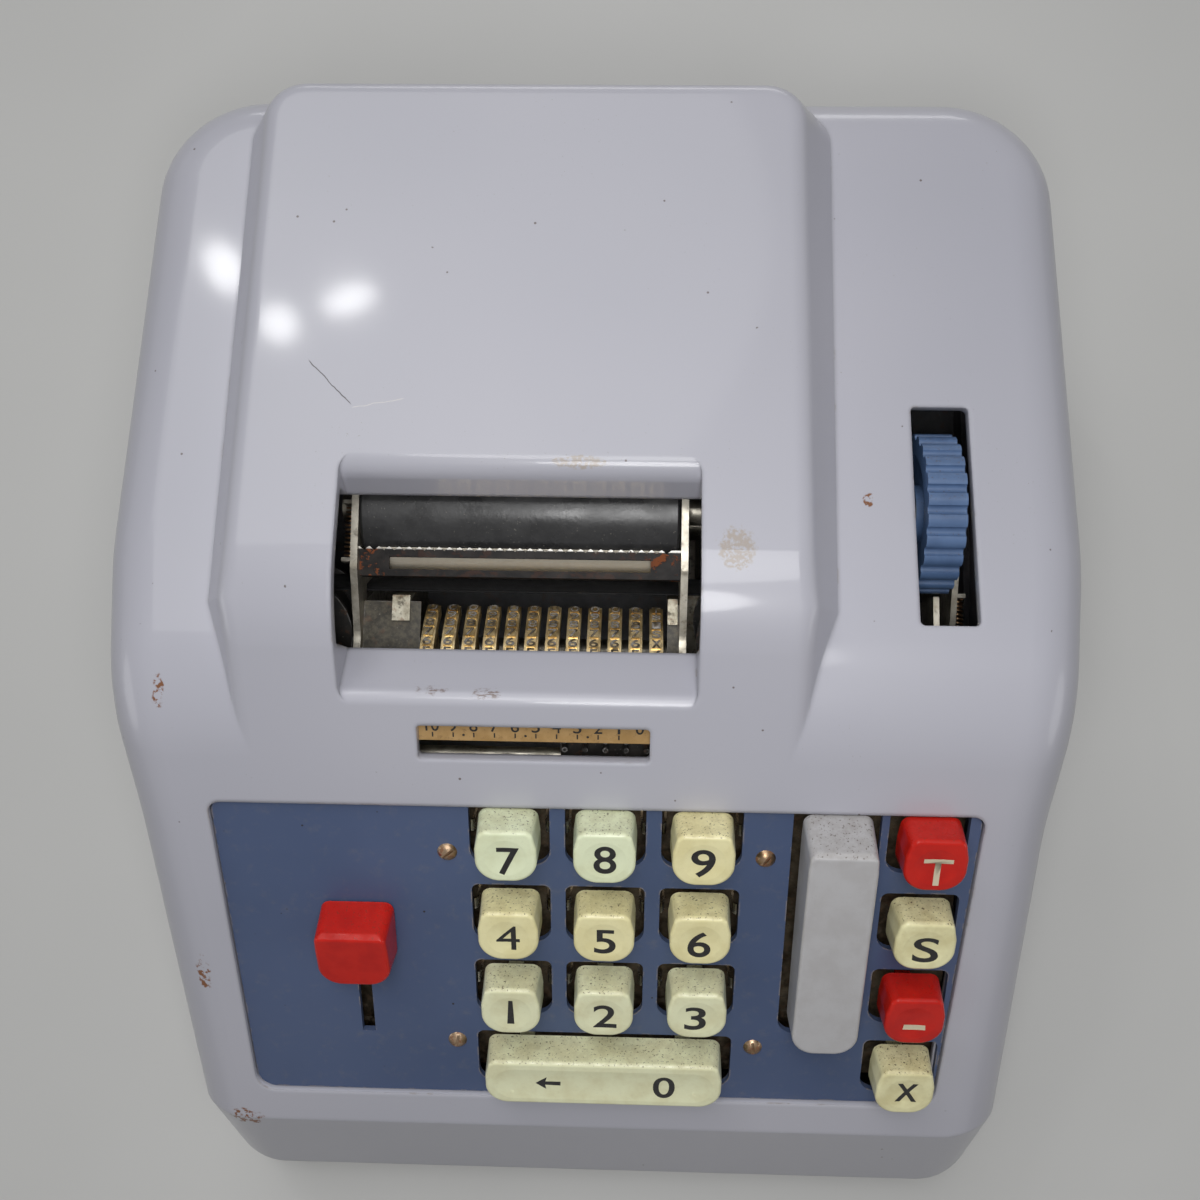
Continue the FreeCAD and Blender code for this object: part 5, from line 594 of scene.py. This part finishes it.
def character(node, shape, u, v, width, height):
    """Character on the face of a key, riding with it."""
    mesh = letter_mesh(shape, width, height, KEY_BOLD) if isinstance(shape, str) else outline_mesh(shape)
    key_u, key_v = KEY_PLACES[node]
    middle = on_keyboard(key_u + u * MM, key_v + v * MM)
    lay_on(mesh, surface_of(node), middle, ACROSS, UP_SLOPE, OFF_SLOPE)
    pale = node in PALE_CHARACTERS
    material, slot = ("ink_cream", "key_ivory") if pale else ("ink_black", "black_plastic")
    name = "mark_%s_%d" % (node, len(bpy.data.meshes))
    return new_piece(name, mesh, BODY_OF[node], material)


KEY_PLACES = key_places()
for entry in CHARACTERS:
    character(*entry)


# Stem guides that glint beside the caps, in millimetres

GUIDE_FOOT = -7.0     # below the keyboard surface
GUIDE_OUT = 7.15     # from the key's middle
GUIDE_PROFILE = [(0, 0), (0, 3.3), (0.10, 3.75), (0.38, 4.05), (0.75, 4.12)]     # outward and up
GUIDE_HALF_THICKNESS = 0.22
GUIDE_HALF_LENGTH = 1.3
GUIDE_TAPER = 0.5     # share of the thickness lost for each millimetre outward
GUIDE_BEND = 1.6     # how soon the bent top lies flat


def stem_guide(key, side):
    """Bent steel ear on the upper guide plate beside one key."""
    key_u, key_v = KEY_PLACES[key]
    middle = on_keyboard(key_u, key_v)
    made = bmesh.new()
    rings = []
    for u, w in GUIDE_PROFILE:
        ring = []
        for du, dv in ((-1, -1), (1, -1), (1, 1), (-1, 1)):
            across = side * (GUIDE_OUT + u + du * GUIDE_HALF_THICKNESS * (1 - GUIDE_TAPER * u))
            lift = GUIDE_FOOT + w + (-du * GUIDE_HALF_THICKNESS * min(1, u * GUIDE_BEND))
            corner = middle + ACROSS * across * MM
            corner += UP_SLOPE * dv * GUIDE_HALF_LENGTH * MM
            corner += OFF_SLOPE * lift * MM
            ring.append(made.verts.new(corner))
        rings.append(ring)
    for a, b in zip(rings, rings[1:]):
        for k in range(4):
            made.faces.new((a[k], a[(k + 1) % 4], b[(k + 1) % 4], b[k]))
    made.faces.new(rings[0])
    made.faces.new(rings[-1])
    bmesh.ops.recalc_face_normals(made, faces=made.faces)
    mesh = bpy.data.meshes.new("stem_guide")
    made.to_mesh(mesh)
    made.free()
    name = "stem_guide_%s_%s" % (key, "right" if side > 0 else "left")
    return new_piece(name, mesh, "machine", "bright")


for digit in range(1, 10):
    for side in (-1, 1):
        stem_guide("key_%d" % digit, side)


# Register scale: numerals, ticks and dots on the strip

SCALE_PITCH = 3.98 * MM
SCALE_ZERO_X = 7.6 * MM
NUMERAL_V = 22.75 * MM
TICK_V = 20.75 * MM
LAST_NUMERAL = 10
# Sizes in millimetres
NUMERAL_HEIGHT = 2.5
NUMERAL_WIDTH = 1.6
ODD_WIDTHS = {1: 0.5, 10: 2.6}
TICK = [(-0.14, -0.5), (0.14, -0.5), (0.14, 0.5), (-0.14, 0.5)]
DOT_RADIUS = 0.26
DOT_CORNERS = 10
DOTTED = (2, 5, 8)     # numerals with a dot on their left


def scale_print():
    """Numerals 10 to 0 with a tick under each but 0, and a dot at every third."""
    caster = surface_of("scale_strip")
    whole = bmesh.new()

    def add(mesh, u, v):
        """Lay a mesh on the strip and take it into the whole print."""
        laid = lay_on(mesh, caster, on_keyboard(u, v), ACROSS, UP_SLOPE, OFF_SLOPE)
        whole.from_mesh(laid)

    turns = [2 * pi * k / DOT_CORNERS for k in range(DOT_CORNERS)]
    dot = [(DOT_RADIUS * cos(turn), DOT_RADIUS * sin(turn)) for turn in turns]
    for number in range(LAST_NUMERAL + 1):
        u = SCALE_ZERO_X - number * SCALE_PITCH
        add(letter_mesh(str(number), ODD_WIDTHS.get(number, NUMERAL_WIDTH), NUMERAL_HEIGHT), u, NUMERAL_V)
        if number:
            add(outline_mesh(TICK), u, TICK_V)
        if number in DOTTED:
            add(outline_mesh(dot), u - SCALE_PITCH / 2, TICK_V)
    mesh = bpy.data.meshes.new("scale_print")
    whole.to_mesh(mesh)
    whole.free()
    return new_piece("scale_print", mesh, "machine", "ink_black")


scale_print()


# Types on the sectors

JOINTS = {joint["name"]: joint for joint in frame["joints"]}
SECTOR_PIVOT = Vector(JOINTS[SECTORS[0] + "_swing"]["pos_m"])
RIM_RADIUS = 28 * MM
TYPE_FROM = radians(38)     # where the types start on the rim, up from the rear
TYPE_STEP = radians(4.9)
TYPE_WIDTH, TYPE_HEIGHT = 1.75, 1.85     # in millimetres
TYPE_SEAT = 0.2 * MM     # flat types start this far below the rim
TYPE_RELIEF = 0.16 * MM
DIGIT_TYPES = "0987654321"
SIGN_TYPES = "T*-SX/+#=C"     # on the last sector


def sector_types(name):
    """Raised characters on one sector's rim."""
    low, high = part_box(name)
    caster = surface_of(name)
    whole = bmesh.new()
    mesh = bpy.data.meshes.new("types_" + name)
    hub = Vector(((low.x + high.x) / 2, SECTOR_PIVOT.y, SECTOR_PIVOT.z))
    for index, text in enumerate(SIGN_TYPES if name == SECTORS[-1] else DIGIT_TYPES):
        angle = TYPE_FROM + (index + 0.5) * TYPE_STEP
        off = Vector((0, cos(angle), sin(angle)))
        up = Vector((0, sin(angle), -cos(angle)))
        middle = hub + off * (RIM_RADIUS - TYPE_SEAT)
        letter = letter_mesh(text, TYPE_WIDTH, TYPE_HEIGHT)
        lay_on(letter, caster, middle, ACROSS, up, off, TYPE_LIFT)
        raised = bmesh.new()
        raised.from_mesh(letter)
        grown = bmesh.ops.extrude_face_region(raised, geom=raised.faces[:])
        for v in [g for g in grown["geom"] if isinstance(g, bmesh.types.BMVert)]:
            v.co += off * TYPE_RELIEF
        raised.to_mesh(letter)
        raised.free()
        whole.from_mesh(letter)
    bmesh.ops.recalc_face_normals(whole, faces=whole.faces)
    whole.to_mesh(mesh)
    whole.free()
    return new_piece("types_" + name, mesh, BODY_OF[name], "type")


for name in SECTORS:
    sector_types(name)


# Ribbon

RIBBON_LEAN = radians(21.8)     # its rear face looks up by this angle
RIBBON_WIDTH = 12.7 * MM
RIBBON_THICKNESS = 0.22 * MM
RIBBON_ALONG = 96     # faces along and across
RIBBON_UP = 8
# Waves of the slack lower edge, off its face and up and down: height in millimetres, radians over the
# ribbon's length, and the angle that they start at
EDGE_WAVES = [(0.16, 31, 0.6), (0.10, 57, 2.1), (0.06, 109, 0)]
EDGE_DROPS = [(0.22, 23, 1.1), (0.12, 61, 0)]


def ripple(waves, t):
    """Sum of waves at a share of the ribbon's length, in metres."""
    return sum(height * sin(turn * t + start) for height, turn, start in waves) * MM


def ribbon_cloth():
    """Woven ribbon with a slack, wavy lower edge, in the place of its CAD band."""
    low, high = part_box("ribbon")
    middle = (low + high) / 2
    toward = Vector((0, cos(RIBBON_LEAN), sin(RIBBON_LEAN)))
    upward = Vector((0, -sin(RIBBON_LEAN), cos(RIBBON_LEAN)))
    cloth = bmesh.new()
    rows = []
    for i in range(RIBBON_ALONG + 1):
        t = i / RIBBON_ALONG
        x = low.x + t * (high.x - low.x)
        row = []
        for j in range(RIBBON_UP + 1):
            s = j / RIBBON_UP
            slack = sin(pi * t) * (1 - s)
            across = RIBBON_WIDTH * (s - 0.5) + slack * ripple(EDGE_DROPS, t)
            out = slack * ripple(EDGE_WAVES, t)
            row.append(cloth.verts.new(Vector((x, middle.y, middle.z)) + upward * across + toward * out))
        rows.append(row)
    for a, b in zip(rows, rows[1:]):
        for j in range(RIBBON_UP):
            cloth.faces.new((a[j], b[j], b[j + 1], a[j + 1]))
    mesh = bpy.data.meshes.new("ribbon_cloth")
    cloth.to_mesh(mesh)
    cloth.free()
    for polygon in mesh.polygons:
        polygon.use_smooth = True
    piece = new_piece("ribbon_cloth", mesh, "machine", "ribbon")
    thick = piece.modifiers.new("thickness", "SOLIDIFY")
    thick.thickness = RIBBON_THICKNESS
    thick.offset = 0
    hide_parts("ribbon")
    return piece


ribbon_cloth()


# Floor, light and camera

FLOOR_REACH = 3.0     # in metres from the machine
FLOOR_PALE = ((0.55, 0.55, 0.54), (0.58, 0.58, 0.57))
FLOOR_BOUNCE = (0.10, 0.10, 0.10)     # darker to light that bounces, so that it doesn't fill the shadows
WORLD_COLOUR = (1.0, 1.0, 0.99, 1)
BACKDROP = 0.50
WORLD_LIGHT = 0.13
# Place, target, width and length in metres, and power in watts. Each glint lamp is mirrored as one highlight
# on the rear left of the casing.
LAMPS = {
    "rear_softbox": ((-0.40, 1.00, 1.45), (0, 0, 0.08), 1.3, 1.0, 6),
    "rear_strip": ((0, 1.25, 0.20), (0, 0.12, 0.09), 1.0, 0.25, 2),
    "left_fill": ((-1.4, -0.35, 0.40), (0, 0, 0.06), 0.8, 0.5, 1.5),
    "right_fill": ((1.4, -0.35, 0.40), (0, 0, 0.06), 0.8, 0.5, 1.5),
    "overhead": ((0, 0.16, 0.95), (0, 0, 0.08), 0.40, 0.40, 2.4),
    "near_light": ((0.011, -0.056, 0.335), (0.011, -0.02, 0.08), 0.085, 0.085, 0.24),
    "round_glint": ((-0.342, 0.588, 0.903), (-0.061, 0.060, 0.101), 0.035, 0.035, 0.13),
    "shoulder_glint": ((-0.396, 0.673, 0.822), (-0.079, 0.078, 0.083), 0.035, 0.050, 0.18),
    "long_glint": ((-0.276, 0.617, 0.903), (-0.048, 0.065, 0.101), 0.055, 0.025, 0.15),
}
CAMERA_PLACE = (0.00593 + KEYBOARD_X * MM, -0.01815, 0.32346)
CAMERA_TURN = (6.613, 1.469, 1.089)     # in degrees
SENSOR_WIDTH = 36
LENS = 36
NEAREST = 0.01     # what is nearer isn't drawn


def seen_directly(tree):
    """Output that is 1 for rays of the camera, in gloss and through glass, and 0 for light that bounces."""
    rays = tree.nodes.new("ShaderNodeLightPath").outputs
    seen = rays["Is Camera Ray"]
    for name in ("Is Glossy Ray", "Is Transmission Ray"):
        either = tree.nodes.new("ShaderNodeMath")
        either.operation = "MAXIMUM"
        tree.links.new(seen, either.inputs[0])
        tree.links.new(rays[name], either.inputs[1])
        seen = either.outputs[0]
    return seen


def floor():
    """Pale floor that fills the view."""
    r = FLOOR_REACH
    mesh = bpy.data.meshes.new("floor")
    mesh.from_pydata([(-r, -r, 0), (r, -r, 0), (r, r, 0), (-r, r, 0)], [], [(0, 1, 2, 3)])
    piece = bpy.data.objects.new("floor", mesh)
    bpy.context.scene.collection.objects.link(piece)
    s = Shader("floor_pale")
    pale = s.mix(s.step(s.noise(6.0, 3.0), 0.3, 0.7), *FLOOR_PALE)
    tint = s.mix(seen_directly(s.tree), FLOOR_BOUNCE, pale)
    s.bump(s.noise(300.0, 3.0), 0.0001, 0.2)
    dress(piece, s.finish(tint, Roughness=0.75))


def lamp(name, place, target, width, length, power):
    """Soft area light aimed at a point and not seen by the camera."""
    data = bpy.data.lights.new(name, "AREA")
    data.shape = "ELLIPSE"
    data.size = width
    data.size_y = length
    data.energy = power
    piece = bpy.data.objects.new(name, data)
    piece.location = place
    piece.rotation_euler = (Vector(target) - Vector(place)).to_track_quat("-Z", "Y").to_euler()
    piece.visible_camera = False
    bpy.context.scene.collection.objects.link(piece)


def surroundings():
    """Weak plain world light, and a brighter backdrop where it is seen directly."""
    world = bpy.data.worlds.new("studio")
    bpy.context.scene.world = world
    world.use_nodes = True
    tree = world.node_tree
    background = tree.nodes["Background"]
    background.inputs["Color"].default_value = WORLD_COLOUR
    strength = tree.nodes.new("ShaderNodeMapRange")
    strength.inputs["To Min"].default_value = WORLD_LIGHT
    strength.inputs["To Max"].default_value = BACKDROP
    tree.links.new(seen_directly(tree), strength.inputs["Value"])
    tree.links.new(strength.outputs[0], background.inputs["Strength"])


def camera():
    """Camera over the machine, looking down and slightly to the rear."""
    data = bpy.data.cameras.new("camera")
    data.sensor_width = SENSOR_WIDTH
    data.lens = LENS
    data.clip_start = NEAREST
    piece = bpy.data.objects.new("camera", data)
    piece.location = CAMERA_PLACE
    piece.rotation_euler = Euler([radians(turn) for turn in CAMERA_TURN])
    bpy.context.scene.collection.objects.link(piece)
    bpy.context.scene.camera = piece


floor()
for name, settings in LAMPS.items():
    lamp(name, *settings)
surroundings()
camera()
bpy.context.scene.view_settings.view_transform = "Standard"
